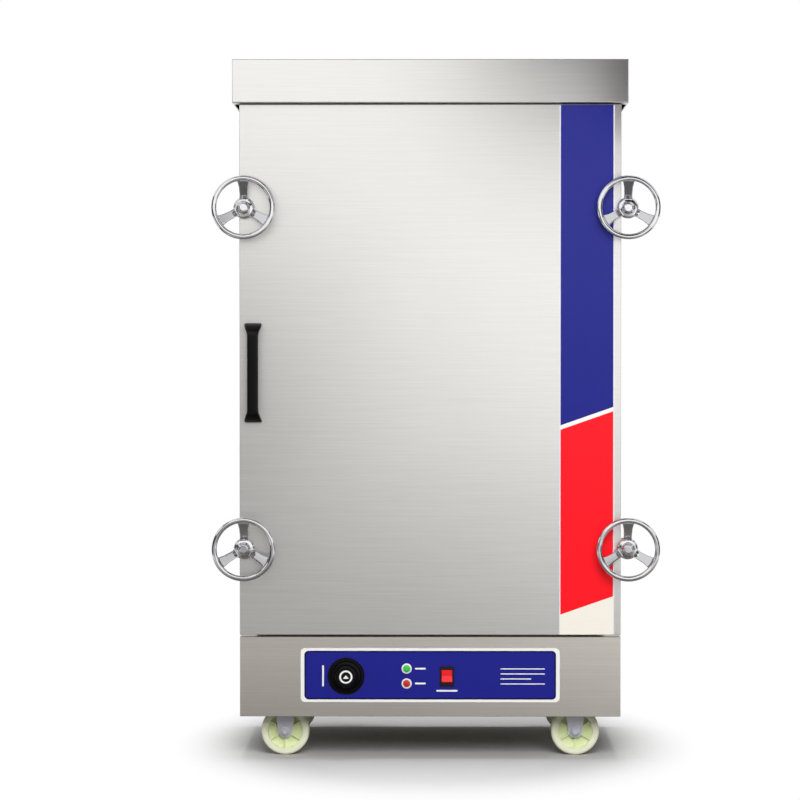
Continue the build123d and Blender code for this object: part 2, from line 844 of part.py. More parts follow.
def tray_rack(side):
    """Ladder of angle runners on two uprights; side is -1 or 1."""
    wall = chamber_half - seat_gap
    y0 = tray_front_gap
    y1 = y0 + tray_depth
    foot = liner_floor
    head = liner_roof - rack_head_gap
    rack = None
    for bar_y in (y0 + rack_bar_inset, y1 - rack_bar_inset - rack_bar_width):
        bar = block(wall - rack_bar, wall, bar_y, bar_y + rack_bar_width, foot, head)
        rack = bar if rack is None else rack + bar
    inner = wall - rack_bar
    for index in range(tray_count):
        top = first_tray_height + index * tray_pitch
        shelf = block(inner - runner_width, inner, y0, y1, top - runner_sheet, top)
        shelf += block(inner - runner_sheet, inner, y0, y1, top - runner_height, top)
        rack += shelf
    return rack if side > 0 else rack.mirror(Plane.YZ)


def water_tank():
    """Open pan for the boiling water, on the chamber floor."""
    half = tank_half
    y0 = tank_front_y
    y1 = tank_back_y
    t = tank_sheet
    top = liner_floor + tank_height
    pan = block(-half, half, y0, y1, liner_floor, top)
    return pan - block(-half + t, half - t, y0 + t, y1 - t, liner_floor + t, top + past)


def steam_plate():
    """Slotted cover over the water, through which the steam rises."""
    half = tank_half + steam_plate_lap
    z0 = liner_floor + tank_height
    z1 = z0 + steam_plate_sheet
    plate = block(-half, half, tank_front_y - steam_plate_lap, tank_back_y + steam_plate_lap, z0, z1)
    pitch = 2 * tank_half / steam_slot_count
    y0 = tank_front_y + steam_slot_margin
    y1 = tank_back_y - steam_slot_margin
    for index in range(steam_slot_count):
        x = -tank_half + (index + 0.5) * pitch
        plate -= block(x - steam_slot_width / 2, x + steam_slot_width / 2, y0, y1, z0 - past, z1 + past)
    return plate


def heating_elements():
    """Hairpin heater tubes in the water, each held by a foot at the back of the tank."""
    z = liner_floor + heater_height
    y_back = tank_back_y - tank_sheet
    y_turn = tank_front_y + heater_margin
    reach = heater_bend + heater_foot_margin
    tubes = []
    for index in range(heater_count):
        x = (index - (heater_count - 1) / 2) * heater_pitch
        left = rod_y(heater_radius, x - heater_bend, z, y_turn, y_back)
        right = rod_y(heater_radius, x + heater_bend, z, y_turn, y_back)
        bend = Pos(x, y_turn, z) * Torus(heater_bend, heater_radius)
        bend &= block(x - reach, x + reach, y_turn - reach, y_turn, z - heater_height, z + heater_height)
        foot_low = liner_floor + tank_sheet
        foot = block(x - reach, x + reach, y_back - heater_foot, y_back, foot_low, z + heater_foot_margin)
        tubes.append(left + right + bend + foot)
    return group(tubes)


def pipe_stub(x, z, radius, bore, length, collar):
    """A pipe through the back of the cabinet with a collar against the back panel."""
    stub = rod_y(radius, x, z, chamber_depth, carcass_depth + length)
    stub += rod_y(collar, x, z, carcass_depth, carcass_depth + collar_thickness)
    return stub - rod_y(bore, x, z, chamber_depth - past, carcass_depth + length + past)


def drain_valve():
    """Drain pipe with a ball valve body and the stem for its lever."""
    pipe = pipe_stub(drain_x, outlet_z, outlet_radius, outlet_bore_radius, outlet_length, collar_radius)
    valve_y = carcass_depth + outlet_length / 2
    body = Pos(drain_x, valve_y, outlet_z) * Sphere(collar_radius)
    reach = collar_radius + past
    body -= rod_y(outlet_radius - valve_wall, drain_x, outlet_z, valve_y - reach, valve_y + reach)
    low = outlet_z + outlet_radius
    top = outlet_z + collar_radius
    stem = rod_z(stem_radius, drain_x, valve_y, low, top + stem_rise)
    seat = rod_z(stem_radius + stem_seat, drain_x, valve_y, low, top + stem_seat_rise)
    return pipe + body + stem + seat


def drain_lever():
    """Flat lever on the valve stem, across the pipe when the valve is shut."""
    valve_y = carcass_depth + outlet_length / 2
    z0 = outlet_z + collar_radius + stem_seat_rise + seat_gap
    z1 = z0 + lever_sheet
    half = lever_width / 2
    lever = block(drain_x, drain_x + lever_length, valve_y - half, valve_y + half, z0, z1)
    lever += rod_z(half + lever_eye, drain_x, valve_y, z0, z1)
    lever += rod_z(half, drain_x + lever_length, valve_y, z0, z1)
    return lever - rod_z(stem_radius + running_gap, drain_x, valve_y, z0 - past, z1 + past)


def water_inlet():
    """Threaded water inlet on the back."""
    return pipe_stub(inlet_x, outlet_z, outlet_radius, outlet_bore_radius, inlet_length, collar_radius)


def steam_vent():
    """Vent pipe for surplus steam, high on the back."""
    return pipe_stub(0, vent_z, vent_radius, vent_bore_radius, vent_length, vent_radius + vent_collar)


def cable_gland():
    """Cable gland in the back of the base, with a six-sided nut."""
    y = carcass_depth
    inner_y = y - base_sheet - gland_thread
    outer_y = y + gland_length
    gland = rod_y(gland_radius, gland_x, gland_z, inner_y, y)
    nut_face = Plane.XZ.offset(-y - gland_nut) * Pos(gland_x, gland_z)
    nut = extrude(nut_face * RegularPolygon(gland_radius + gland_nut_rim, 6), amount=gland_nut)
    cap = rod_y(gland_radius - past, gland_x, gland_z, y + gland_nut, outer_y)
    cap = chamfer(cap.edges().group_by(Axis.Y)[-1], gland_bevel)
    return gland + nut + cap - rod_y(gland_bore_radius, gland_x, gland_z, inner_y - past, outer_y + past)


def caster_places():
    """Name, side, and swivel axis of each caster; side is -1 on the left and 1 on the right."""
    places = {}
    axis_x = base_half - caster_side_inset - caster_trail
    for row, y in (("front", caster_front_inset), ("rear", carcass_depth - caster_back_inset)):
        for name, side in (("left", -1), ("right", 1)):
            places[row + "_" + name] = (side, side * axis_x, y)
    return places


def caster_plates():
    """Fixed top plates with the lower cup of each swivel."""
    plates = []
    top = caster_mount_height
    for side, x, y in caster_places().values():
        half_length = caster_plate_length / 2
        half_width = caster_plate_width / 2
        plate = block(x - half_length, x + half_length, y - half_width, y + half_width, top - caster_plate, top)
        plate = fillet(plate.edges().filter_by(Axis.Z), caster_plate_corner)
        cup_top = top - caster_plate
        cup_low = cup_top - caster_cup_height
        cup = rod_z(caster_cup_radius, x, y, cup_low, cup_top)
        cup = chamfer(cup.edges().group_by(Axis.Z)[0], caster_cup_bevel)
        bore = rod_z(caster_pin_radius + running_gap, x, y, cup_low - past, cup_top)
        plates.append(plate + cup - bore)
    return group(plates)


def caster_fork(side, x, y):
    """Pressed fork with tapered legs, a crown on its pivot pin, and the wheel's axle bolt."""
    crown_low = fork_top - fork_crown
    inner = caster_wheel_width / 2 + 2 * seat_gap
    outer = inner + fork_sheet
    r = fork_leg_radius
    axle = caster_trail
    shoulder = fork_shoulder
    leg = [
        (axle + r, caster_wheel_radius), (axle + shoulder, fork_shoulder_height), (axle + fork_nose, fork_top),
        (-axle, fork_top), (axle - shoulder, fork_shoulder_height), (axle - r, caster_wheel_radius),
    ]
    fork = None
    for y0 in (-outer, inner):
        plate = outline_y(leg, y0, y0 + fork_sheet)
        plate += rod_y(r, axle, caster_wheel_radius, y0, y0 + fork_sheet)
        hole_radius = caster_axle_radius + seat_gap
        plate -= rod_y(hole_radius, axle, caster_wheel_radius, y0 - past, y0 + fork_sheet + past)
        fork = plate if fork is None else fork + plate
    fork += block(-axle, axle + fork_nose, -outer, outer, crown_low, fork_top)
    fork += rod_z(caster_pin_radius, 0, 0, crown_low, fork_top + seat_gap + caster_cup_height - past)
    bolt = rod_y(caster_axle_radius, axle, caster_wheel_radius, -outer, outer)
    head_radius = caster_axle_radius + caster_axle_head
    for y0 in (-outer - caster_axle_head_length, outer):
        bolt += rod_y(head_radius, axle, caster_wheel_radius, y0, y0 + caster_axle_head_length)
    turn = 0 if side > 0 else 180
    place = Pos(x, y, 0) * Rot(Z=turn)
    return group([place * fork, place * bolt])


def caster_wheel(side, x, y):
    """Moulded wheel: round tread, thin web with ribs on both sides, and a hub."""
    r = caster_wheel_radius
    half = caster_wheel_width / 2
    wheel = Cylinder(r, caster_wheel_width)
    wheel = fillet(wheel.edges(), caster_tread_round)
    pocket_depth = (caster_wheel_width - caster_web) / 2
    for z in (half - pocket_depth / 2, -half + pocket_depth / 2):
        pocket = Cylinder(r - caster_rim, pocket_depth) - Cylinder(caster_hub_radius, pocket_depth)
        wheel -= Pos(0, 0, z) * pocket
    span = r - caster_rim - caster_hub_radius + 2 * caster_rib_bite
    rib_x = (r - caster_rim + caster_hub_radius) / 2
    rib_width = caster_wheel_width - 2 * caster_rib_recess
    for index in range(caster_rib_count):
        turn = (index + 0.5) * 360 / caster_rib_count
        wheel += Rot(Z=turn) * Pos(rib_x, 0, 0) * Box(span, caster_rib, rib_width)
    wheel -= Cylinder(caster_axle_radius + running_gap, caster_wheel_width + 2 * past)
    return Pos(x + side * caster_trail, y, r) * Rot(X=90) * wheel


def all_nodes():
    """Every node of the steamer by name."""
    nodes = {
        "hood": hood(),
        "outer_shell": outer_shell(),
        "back_panel": back_panel(),
        "chamber_liner": chamber_liner(),
        "insulation": insulation(),
        "base_chassis": base_chassis(),
        "base_panel": base_panel(),
        "control_plate": control_plate(),
        "knob": knob(),
        "thermostat": thermostat(),
        "lamp_green": lamp(lamp_green_z),
        "lamp_red": lamp(lamp_red_z),
        "rocker_frame": rocker_frame(),
        "rocker": rocker(),
        "door_skin": door_skin(),
        "door_pan": door_pan(),
        "door_insulation": door_insulation(),
        "door_gasket": door_gasket(),
        "door_strip": door_strip(),
        "door_handle": door_handle(),
        "latch_bushes": latch_bushes(),
        "hinge_lugs": hinge_lugs(),
        "hinge_bolts": hinge_bolts(),
        "hinge_pins": hinge_pins(),
        "wall_brackets": wall_brackets(),
        "water_tank": water_tank(),
        "steam_plate": steam_plate(),
        "heating_elements": heating_elements(),
        "rack_left": tray_rack(-1),
        "rack_right": tray_rack(1),
        "drain_valve": drain_valve(),
        "drain_lever": drain_lever(),
        "water_inlet": water_inlet(),
        "steam_vent": steam_vent(),
        "cable_gland": cable_gland(),
        "caster_plates": caster_plates(),
    }
    latch_bore = latch_shaft_radius + running_gap
    hinge_bore = hinge_bolt_radius + running_gap
    for name, height in wheel_heights.items():
        nodes["latch_shaft_" + name] = latch_shaft(height)
        nodes["latch_wheel_" + name] = placed_handwheel(-latch_axis_x, height, latch_bore)
        nodes["hinge_wheel_" + name] = placed_handwheel(hinge_axis_x, height, hinge_bore)
        nodes["hinge_washer_" + name] = hinge_washer(height)
    for index in range(tray_count):
        nodes["tray_" + str(index + 1)] = tray(index)
    for name, (side, x, y) in caster_places().items():
        nodes["caster_fork_" + name] = caster_fork(side, x, y)
        nodes["caster_wheel_" + name] = caster_wheel(side, x, y)
    return nodes


os.makedirs("parts", exist_ok=True)
place = Pos(-centre_x, -centre_y, 0)
for node_name, shape in all_nodes().items():
    export_step(place * shape, "parts/" + node_name + ".step")
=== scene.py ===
"""Studio scene of a commercial pressure steamer: finishes and fine pieces over its CAD frame."""

import logging
import math
from collections.abc import Callable, Sequence
from dataclasses import dataclass
from enum import Enum

import bpy
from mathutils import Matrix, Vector


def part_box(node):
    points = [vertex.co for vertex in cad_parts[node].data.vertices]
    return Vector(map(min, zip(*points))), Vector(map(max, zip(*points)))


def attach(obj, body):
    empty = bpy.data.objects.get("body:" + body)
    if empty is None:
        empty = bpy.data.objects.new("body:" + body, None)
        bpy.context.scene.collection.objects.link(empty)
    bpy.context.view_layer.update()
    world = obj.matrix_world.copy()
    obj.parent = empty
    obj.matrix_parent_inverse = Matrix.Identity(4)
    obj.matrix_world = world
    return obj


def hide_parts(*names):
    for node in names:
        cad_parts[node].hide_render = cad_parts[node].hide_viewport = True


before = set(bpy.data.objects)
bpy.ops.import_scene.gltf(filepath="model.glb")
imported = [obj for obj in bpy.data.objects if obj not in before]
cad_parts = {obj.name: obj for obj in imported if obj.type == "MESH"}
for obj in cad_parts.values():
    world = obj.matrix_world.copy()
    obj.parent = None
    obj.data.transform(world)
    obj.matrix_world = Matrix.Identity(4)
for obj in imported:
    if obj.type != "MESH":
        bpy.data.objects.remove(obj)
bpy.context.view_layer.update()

Piece = bpy.types.Object
Tree = bpy.types.NodeTree
Node = bpy.types.Node
Socket = bpy.types.NodeSocket
Colour = tuple[float, float, float, float]
Point = tuple[float, float, float]
Rings = tuple[tuple[float, float], ...]
Recipe = tuple[dict[str, float | Point], dict[str, Socket], Socket]

log = logging.getLogger("steamer")
MM = 0.001
SMOOTH_ANGLE = math.radians(35)
SHARP_ANGLE = math.radians(40)
ORIGIN = (0.0, 0.0, 0.0)
FLAT = (0.0, 0.0, 0.0)
TO_FRONT = (math.pi / 2, 0.0, 0.0)
TO_BACK = (-math.pi / 2, 0.0, 0.0)
TO_SIDE = (0.0, math.pi / 2, 0.0)
WHITE = (1.0, 1.0, 1.0, 1.0)
CORNERS = ("front_left", "front_right", "rear_left", "rear_right")


class Grain(Enum):
    """The direction in which a sheet was brushed or rolled."""

    ACROSS = (1, 0, 0)
    UPRIGHT = (0, 0, 1)


def linear(code: str) -> Colour:
    """Turns an sRGB hex colour to linear values, by the standard's own curve.

    Args:
        code: six hex digits with a leading number sign.

    Returns:
        Linear red, green, blue and an alpha of one.
    """
    parts = [int(code[i:i + 2], 16) / 255 for i in (1, 3, 5)]
    red, green, blue = (c / 12.92 if c <= 0.04045 else ((c + 0.055) / 1.055) ** 2.4 for c in parts)
    return red, green, blue, 1.0


def scaled(colour: Colour, share: float) -> Colour:
    """Makes a linear colour darker or paler.

    Args:
        colour: the colour.
        share: what each part of it is multiplied by, up to full white.

    Returns:
        The new colour with an alpha of one.
    """
    return tuple(min(1.0, part * share) for part in colour[:3]) + (1.0,)


def add_node(tree: Tree, kind: str, settings: dict | None = None, links: dict | None = None) -> Node:
    """Adds a node with its settings and the links into it.

    Args:
        tree: the node tree that takes it.
        kind: Blender's name of the node.
        settings: properties by name, or input values by socket name or number.
        links: outputs of other nodes, by the name or number of the socket they go into.

    Returns:
        The new node.
    """
    node = tree.nodes.new(kind)
    for key, value in (settings or {}).items():
        if isinstance(key, str) and hasattr(node, key):
            setattr(node, key, value)
        else:
            node.inputs[key].default_value = value
    for key, output in (links or {}).items():
        tree.links.new(output, node.inputs[key])
    return node


def blank_material(name: str) -> bpy.types.Material:
    """Makes a material whose node tree is still empty.

    Args:
        name: the material's name.

    Returns:
        The new material.
    """
    material = bpy.data.materials.new(name)
    material.use_nodes = True
    material.node_tree.nodes.clear()
    return material


@dataclass(frozen=True)
class Finish:
    """What every finish has: a name, a colour, how it reflects and how strong its pattern is.

    Args:
        name: the material's name.
        colour: sRGB hex colour.
        roughness: roughness of the shader.
        dark: how bright the pattern's dark side is, where 1 is the colour itself.
        relief: how strongly the pattern stands up, and 0 where it is flat.
        depth_mm: how deep it is.
    """

    name: str
    colour: str
    roughness: float
    dark: float = 0.88
    relief: float = 0.0
    depth_mm: float = 0.1

    def material(self) -> bpy.types.Material:
        """Builds the material once.

        Returns:
            The material, the same one each time.
        """
        found = bpy.data.materials.get(self.name)
        if found:
            return found
        material = blank_material(self.name)
        tree = material.node_tree
        coords = add_node(tree, "ShaderNodeTexCoord")
        settings, links, height = self.pattern(tree, coords.outputs["Object"])
        if self.relief:
            bump = add_node(tree, "ShaderNodeBump",
                            {"Strength": self.relief, "Distance": self.depth_mm * MM}, {"Height": height})
            links["Normal"] = bump.outputs[0]
        plain = {"Base Color": linear(self.colour), "Roughness": self.roughness}
        shader = add_node(tree, "ShaderNodeBsdfPrincipled", plain | settings, links)
        add_node(tree, "ShaderNodeOutputMaterial", links={"Surface": shader.outputs["BSDF"]})
        return material

    def shades(self) -> dict[str | int, str | Colour]:
        """Gives the settings of a colour mix, from the pattern's dark side to the full colour."""
        full = linear(self.colour)
        return {"data_type": "RGBA", 6: scaled(full, self.dark), 7: full}

    def pattern(self, tree: Tree, place: Socket) -> Recipe:
        """Adds the nodes of the surface's own pattern; each finish has its own.

        Args:
            tree: the material's node tree.
            place: the place on the piece, in metres.

        Returns:
            Settings of the shader, links into it, and the output that raises the surface.
        """
        raise NotImplementedError


@dataclass(frozen=True)
class BrushedSteel(Finish):
    """Stainless steel sheet with a one-way satin grain, which gives soft streaks along it.

    Args:
        grain: direction of the brushing.
        streak_mm: width of one streak, drawn coarser than the real 0.2 mm so that it shows.
        run_mm: length of one streak.
        smoother: how far a streak's roughness goes below the sheet's own.
        rougher: how far it goes above.
        cloud_mm: size of one of the slow clouds that rolling left.
        cloudy: share of the clouds in the tone.
    """

    relief: float = 0.12
    depth_mm: float = 0.2
    grain: Grain = Grain.ACROSS
    streak_mm: float = 2.2
    run_mm: float = 200.0
    smoother: float = 0.05
    rougher: float = 0.07
    cloud_mm: float = 286.0
    cloudy: float = 0.3

    def pattern(self, tree: Tree, place: Socket) -> Recipe:
        """Adds streaks in colour, roughness and height, and slow clouds in colour.

        Args:
            tree: the material's node tree.
            place: the place on the piece, in metres.

        Returns:
            Settings of the shader, links into it, and the output that raises the surface.
        """
        along = 1 / (self.run_mm * MM)
        across = 1 / (self.streak_mm * MM)
        scale = tuple(along if part else across for part in self.grain.value)
        stretched = add_node(tree, "ShaderNodeMapping", {"Scale": scale}, {"Vector": place})
        streaks = add_node(tree, "ShaderNodeTexNoise", {"Scale": 1.0, "Detail": 3.0, "Roughness": 0.65},
                           {"Vector": stretched.outputs[0]})
        clouds = add_node(tree, "ShaderNodeTexNoise", {"Scale": 1 / (self.cloud_mm * MM), "Detail": 2.0},
                          {"Vector": place})
        blend = add_node(tree, "ShaderNodeMix", {"data_type": "FLOAT", "Factor": self.cloudy},
                         {2: streaks.outputs["Fac"], 3: clouds.outputs["Fac"]})
        tone = add_node(tree, "ShaderNodeMix", self.shades(), {"Factor": blend.outputs[0]})
        rough = add_node(tree, "ShaderNodeMapRange",
                         {"To Min": self.roughness - self.smoother,
                          "To Max": self.roughness + self.rougher},
                         {"Value": streaks.outputs["Fac"]})
        links = {"Base Color": tone.outputs[2], "Roughness": rough.outputs[0]}
        return {"Metallic": 1.0}, links, streaks.outputs["Fac"]


@dataclass(frozen=True)
class PlatedMetal(Finish):
    """Chrome, zinc or cast metal: smooth, with faint clouds in its shine.

    Args:
        cloud_mm: size of one cloud in the plating.
        metallic: below 1 where a dull passivated film covers the metal.
        smoother: share of the roughness at a cloud's smooth end.
        rougher: share of it at the rough end.
    """

    relief: float = 0.03
    cloud_mm: float = 14.0
    metallic: float = 1.0
    smoother: float = 0.8
    rougher: float = 1.3

    def pattern(self, tree: Tree, place: Socket) -> Recipe:
        """Adds clouds in colour and roughness, and a very low wave.

        Args:
            tree: the material's node tree.
            place: the place on the piece, in metres.

        Returns:
            Settings of the shader, links into it, and the output that raises the surface.
        """
        clouds = add_node(tree, "ShaderNodeTexNoise", {"Scale": 1 / (self.cloud_mm * MM), "Detail": 4.0},
                          {"Vector": place})
        tone = add_node(tree, "ShaderNodeMix", self.shades(), {"Factor": clouds.outputs["Fac"]})
        rough = add_node(tree, "ShaderNodeMapRange",
                         {"To Min": self.roughness * self.smoother,
                          "To Max": self.roughness * self.rougher},
                         {"Value": clouds.outputs["Fac"]})
        links = {"Base Color": tone.outputs[2], "Roughness": rough.outputs[0]}
        return {"Metallic": self.metallic}, links, clouds.outputs["Fac"]


@dataclass(frozen=True)
class Moulded(Finish):
    """Moulded plastic or rubber: a fine texture that softens its shine.

    Args:
        texture_mm: size of one grain of the mould's texture.
        gloss: strength of its own reflection, where 0.5 is a plain plastic.
        coat: clear gloss over the colour.
        coat_roughness: roughness of that gloss.
    """

    dark: float = 0.86
    relief: float = 0.08
    depth_mm: float = 0.05
    texture_mm: float = 1.2
    gloss: float = 0.35
    coat: float = 0.0
    coat_roughness: float = 0.08

    def pattern(self, tree: Tree, place: Socket) -> Recipe:
        """Adds a fine texture in height, and a little variation in colour.

        Args:
            tree: the material's node tree.
            place: the place on the piece, in metres.

        Returns:
            Settings of the shader, links into it, and the output that raises the surface.
        """
        grain = add_node(tree, "ShaderNodeTexNoise", {"Scale": 1 / (self.texture_mm * MM), "Detail": 2.0},
                         {"Vector": place})
        tone = add_node(tree, "ShaderNodeMix", self.shades(), {"Factor": grain.outputs["Fac"]})
        settings = {"Specular IOR Level": self.gloss, "Coat Weight": self.coat,
                    "Coat Roughness": self.coat_roughness}
        return settings, {"Base Color": tone.outputs[2]}, grain.outputs["Fac"]


@dataclass(frozen=True)
class CasterNylon(Finish):
    """Cast nylon wheel: cream at the tread, yellow-green where the thin web lets light through.

    Args:
        web_colour: sRGB hex colour of the recess.
        centre: the wheel's centre in the frame.
        rim_radius: where the tread meets the recess, in metres.
        inner_mm: how far inside it the colour begins to turn.
        outer_mm: how far outside it the turn ends.
        mottle_mm: size of one spot of the web's mottle.
        pale: how bright the mottle's pale side is.
        soft: how much light goes into the nylon.
        soak: how far its red, green and blue parts go, in metres.
    """

    relief: float = 0.1
    web_colour: str = "#D6DFB2"
    centre: Point = ORIGIN
    rim_radius: float = 0.034
    inner_mm: float = 2.0
    outer_mm: float = 1.0
    mottle_mm: float = 11.1
    pale: float = 1.25
    soft: float = 0.15
    soak: Point = (0.01, 0.01, 0.006)

    def pattern(self, tree: Tree, place: Socket) -> Recipe:
        """Turns the colour from web to rim over a few millimetres, by distance from the axle.

        Args:
            tree: the material's node tree.
            place: the place on the piece, in metres.

        Returns:
            Settings of the shader, links into it, and the output that raises the surface.
        """
        shift = tuple(-part for part in self.centre)
        local = add_node(tree, "ShaderNodeMapping", {"Location": shift}, {"Vector": place})
        flat = add_node(tree, "ShaderNodeVectorMath", {"operation": "MULTIPLY", 1: (1.0, 0.0, 1.0)},
                        {0: local.outputs[0]})
        reach = add_node(tree, "ShaderNodeVectorMath", {"operation": "LENGTH"}, {0: flat.outputs[0]})
        rim = add_node(tree, "ShaderNodeMapRange",
                       {"From Min": self.rim_radius - self.inner_mm * MM,
                        "From Max": self.rim_radius + self.outer_mm * MM},
                       {"Value": reach.outputs["Value"]})
        mottle = add_node(tree, "ShaderNodeTexNoise", {"Scale": 1 / (self.mottle_mm * MM), "Detail": 3.0},
                          {"Vector": place})
        web = linear(self.web_colour)
        inner = add_node(tree, "ShaderNodeMix", {"data_type": "RGBA", 6: web, 7: scaled(web, self.pale)},
                         {"Factor": mottle.outputs["Fac"]})
        tone = add_node(tree, "ShaderNodeMix", {"data_type": "RGBA", 7: linear(self.colour)},
                        {"Factor": rim.outputs[0], 6: inner.outputs[2]})
        settings = {"Subsurface Weight": self.soft, "Subsurface Radius": self.soak}
        return settings, {"Base Color": tone.outputs[2]}, mottle.outputs["Fac"]


@dataclass(frozen=True)
class PrintedFilm(Finish):
    """Printed film in plain fields of colour, one above the other, parted by fine lines.

    Args:
        fields: (height in metres where it begins, sRGB hex colour), from the bottom up.
        slope: rise of the borders for each metre to the right.
        middle: the film's centre line in x, in metres.
        half: where its pale edge begins, from the centre line.
        edge: sRGB hex colour of that edge.
        ink_mm: size of one speckle of the ink.
        gloss: strength of its own reflection, where 0.5 is a plain plastic.
    """

    dark: float = 0.93
    relief: float = 0.03
    depth_mm: float = 0.05
    fields: tuple[tuple[float, str], ...] = ()
    slope: float = 0.0
    middle: float = 0.0
    half: float = 0.05
    edge: str = "#E4E2EA"
    ink_mm: float = 3.846
    gloss: float = 0.2

    def pattern(self, tree: Tree, place: Socket) -> Recipe:
        """Lets each field cover what is above its border, and adds an even speckle of ink.

        Args:
            tree: the material's node tree.
            place: the place on the piece, in metres.

        Returns:
            Settings of the shader, links into it, and the output that raises the surface.
        """
        parts = add_node(tree, "ShaderNodeSeparateXYZ", links={0: place})
        rise = add_node(tree, "ShaderNodeMath", {"operation": "MULTIPLY", 1: -self.slope},
                        {0: parts.outputs["X"]})
        level = add_node(tree, "ShaderNodeMath", {"operation": "ADD"},
                         {0: parts.outputs["Z"], 1: rise.outputs[0]})
        links = {}
        for border, code in self.fields:
            above = add_node(tree, "ShaderNodeMath", {"operation": "GREATER_THAN", 1: border},
                             {0: level.outputs[0]})
            mix = add_node(tree, "ShaderNodeMix",
                           {"data_type": "RGBA", 6: linear(self.colour), 7: linear(code)},
                           {"Factor": above.outputs[0]} | links)
            links = {6: mix.outputs[2]}
        side = add_node(tree, "ShaderNodeMath", {"operation": "SUBTRACT", 1: self.middle},
                        {0: parts.outputs["X"]})
        reach = add_node(tree, "ShaderNodeMath", {"operation": "ABSOLUTE"}, {0: side.outputs[0]})
        past = add_node(tree, "ShaderNodeMath", {"operation": "GREATER_THAN", 1: self.half},
                        {0: reach.outputs[0]})
        trimmed = add_node(tree, "ShaderNodeMix", {"data_type": "RGBA", 7: linear(self.edge)},
                           {"Factor": past.outputs[0]} | links)
        ink = add_node(tree, "ShaderNodeTexNoise", {"Scale": 1 / (self.ink_mm * MM), "Detail": 2.0},
                       {"Vector": place})
        shade = add_node(tree, "ShaderNodeMapRange", {"To Min": self.dark, "To Max": 1.0},
                         {"Value": ink.outputs["Fac"]})
        tone = add_node(tree, "ShaderNodeVectorMath", {"operation": "SCALE"},
                        {0: trimmed.outputs[2], "Scale": shade.outputs[0]})
        return {"Specular IOR Level": self.gloss}, {"Base Color": tone.outputs[0]}, ink.outputs["Fac"]


@dataclass(frozen=True)
class Fibre(Finish):
    """Pressed mineral wool: matte, with short tangled fibres.

    Args:
        fibre_mm: size of one bundle of fibres along x, y and z.
    """

    dark: float = 0.6
    fibre_mm: Point = (1.1, 3.3, 0.67)

    def pattern(self, tree: Tree, place: Socket) -> Recipe:
        """Adds fibres from a stretched noise.

        Args:
            tree: the material's node tree.
            place: the place on the piece, in metres.

        Returns:
            Settings of the shader, links into it, and the output that raises the surface.
        """
        scale = tuple(1 / (size * MM) for size in self.fibre_mm)
        bundle = add_node(tree, "ShaderNodeMapping", {"Scale": scale}, {"Vector": place})
        fibres = add_node(tree, "ShaderNodeTexNoise", {"Scale": 1.0, "Detail": 5.0},
                          {"Vector": bundle.outputs[0]})
        tone = add_node(tree, "ShaderNodeMix", self.shades(), {"Factor": fibres.outputs["Fac"]})
        return {}, {"Base Color": tone.outputs[2]}, fibres.outputs["Fac"]


# Door and hood: 304 stainless sheet with a satin No. 4 finish. An abrasive belt was run across it, so
# highlights spread up and down and fine lines run from side to side. Real lines are about 0.2 mm wide; they
# are drawn at 2.6 mm.
DOOR_STEEL = BrushedSteel("satin_steel_across", "#ECEBE8", 0.34, streak_mm=2.6, run_mm=150.0, dark=0.78)
# Base: the same sheet from a coarser belt, so it looks duller. Its warmer tint is painted reflection of the
# warm floor. Real lines are about 0.3 mm wide; they are drawn at 2.6 mm.
BASE_STEEL_PAINTED_WARMTH = BrushedSteel("satin_steel_base_painted_warmth", "#F4EFE7", 0.36, streak_mm=2.6, run_mm=240.0, dark=0.74)
# Sides: the same sheet with the belt run upright, so highlights spread sideways. Real lines are about 0.2 mm
# wide; they are drawn at 2.2 mm.
SIDE_STEEL = BrushedSteel("satin_steel_upright", "#DAD8D4", 0.36, grain=Grain.UPRIGHT, dark=0.8)
# Inner sheets and brackets: cold-rolled 304 stainless with the mill's 2B finish. Polished rolls leave it
# smooth and milky, with slow bands along the rolling that hardly show. Bands are drawn at 5 mm, coarser than
# real.
ROLLED_STEEL = BrushedSteel("rolled_steel_sheet", "#D2D1CE", 0.32, streak_mm=5.0, run_mm=180.0, dark=0.9,
                            relief=0.04)
# Trays: thin 304 stainless, bright annealed and pressed. Rolls and furnace leave it close to a mirror, with
# faint lines along the tray. Real lines are about 0.1 mm wide; they are drawn at 1.4 mm.
TRAY_STEEL = BrushedSteel("pressed_tray_steel", "#DEDDDA", 0.27, streak_mm=1.4, run_mm=160.0, dark=0.95,
                          relief=0.01)
# Shafts, hinge bolts, pins and back screws: turned stainless bar. The tool leaves rings under 0.1 mm that
# only dull the shine. No single ring is drawn; clouds of 5 mm stand for them.
MACHINED_STEEL = PlatedMetal("turned_steel", "#B9B8B6", 0.28, cloud_mm=5.0)
# Handwheels: cast metal, ground, buffed and plated with bright nickel and chrome. They mirror the room in
# tight highlights, bent by slow waves that the grinding left. The waves are drawn at 14 mm, about as real.
CHROME = PlatedMetal("polished_chrome", "#D8D8DB", 0.12)
# Caster forks, plates and axle bolts: pressed mild steel, zinc electroplated and blue passivated. The film
# gives a pale lavender grey over a dull metal shine. Real mottling is about 1 mm; it is drawn at 8 mm.
ZINC = PlatedMetal("bright_zinc", "#DCDDE9", 0.42, cloud_mm=8.0, relief=0.1, metallic=0.5)
# Drain valve and water inlet: sand-cast yellow brass, tumbled. Warm, dull and pebbled from the sand. Real
# pebbles are about 0.5 mm; they are drawn at 4 mm.
BRASS = PlatedMetal("cast_brass", "#C5A25A", 0.32, cloud_mm=4.0, relief=0.15)
# Heaters: nickel alloy tube, drawn and then oxidised by its first heats, which leaves a matte, patchy brown
# grey with patches of about 6 mm, as real.
HEATER_ALLOY = PlatedMetal("heater_tube_alloy", "#6A6662", 0.45, cloud_mm=6.0, relief=0.1)
# Door handle and knob: black phenolic resin, pressed in a polished mould. Close to black with a soft gloss
# and a fine orange peel, drawn at 1.5 mm, about twice as coarse as real.
BLACK_RESIN = Moulded("black_phenolic_resin", "#070708", 0.3, texture_mm=1.5, gloss=0.16)
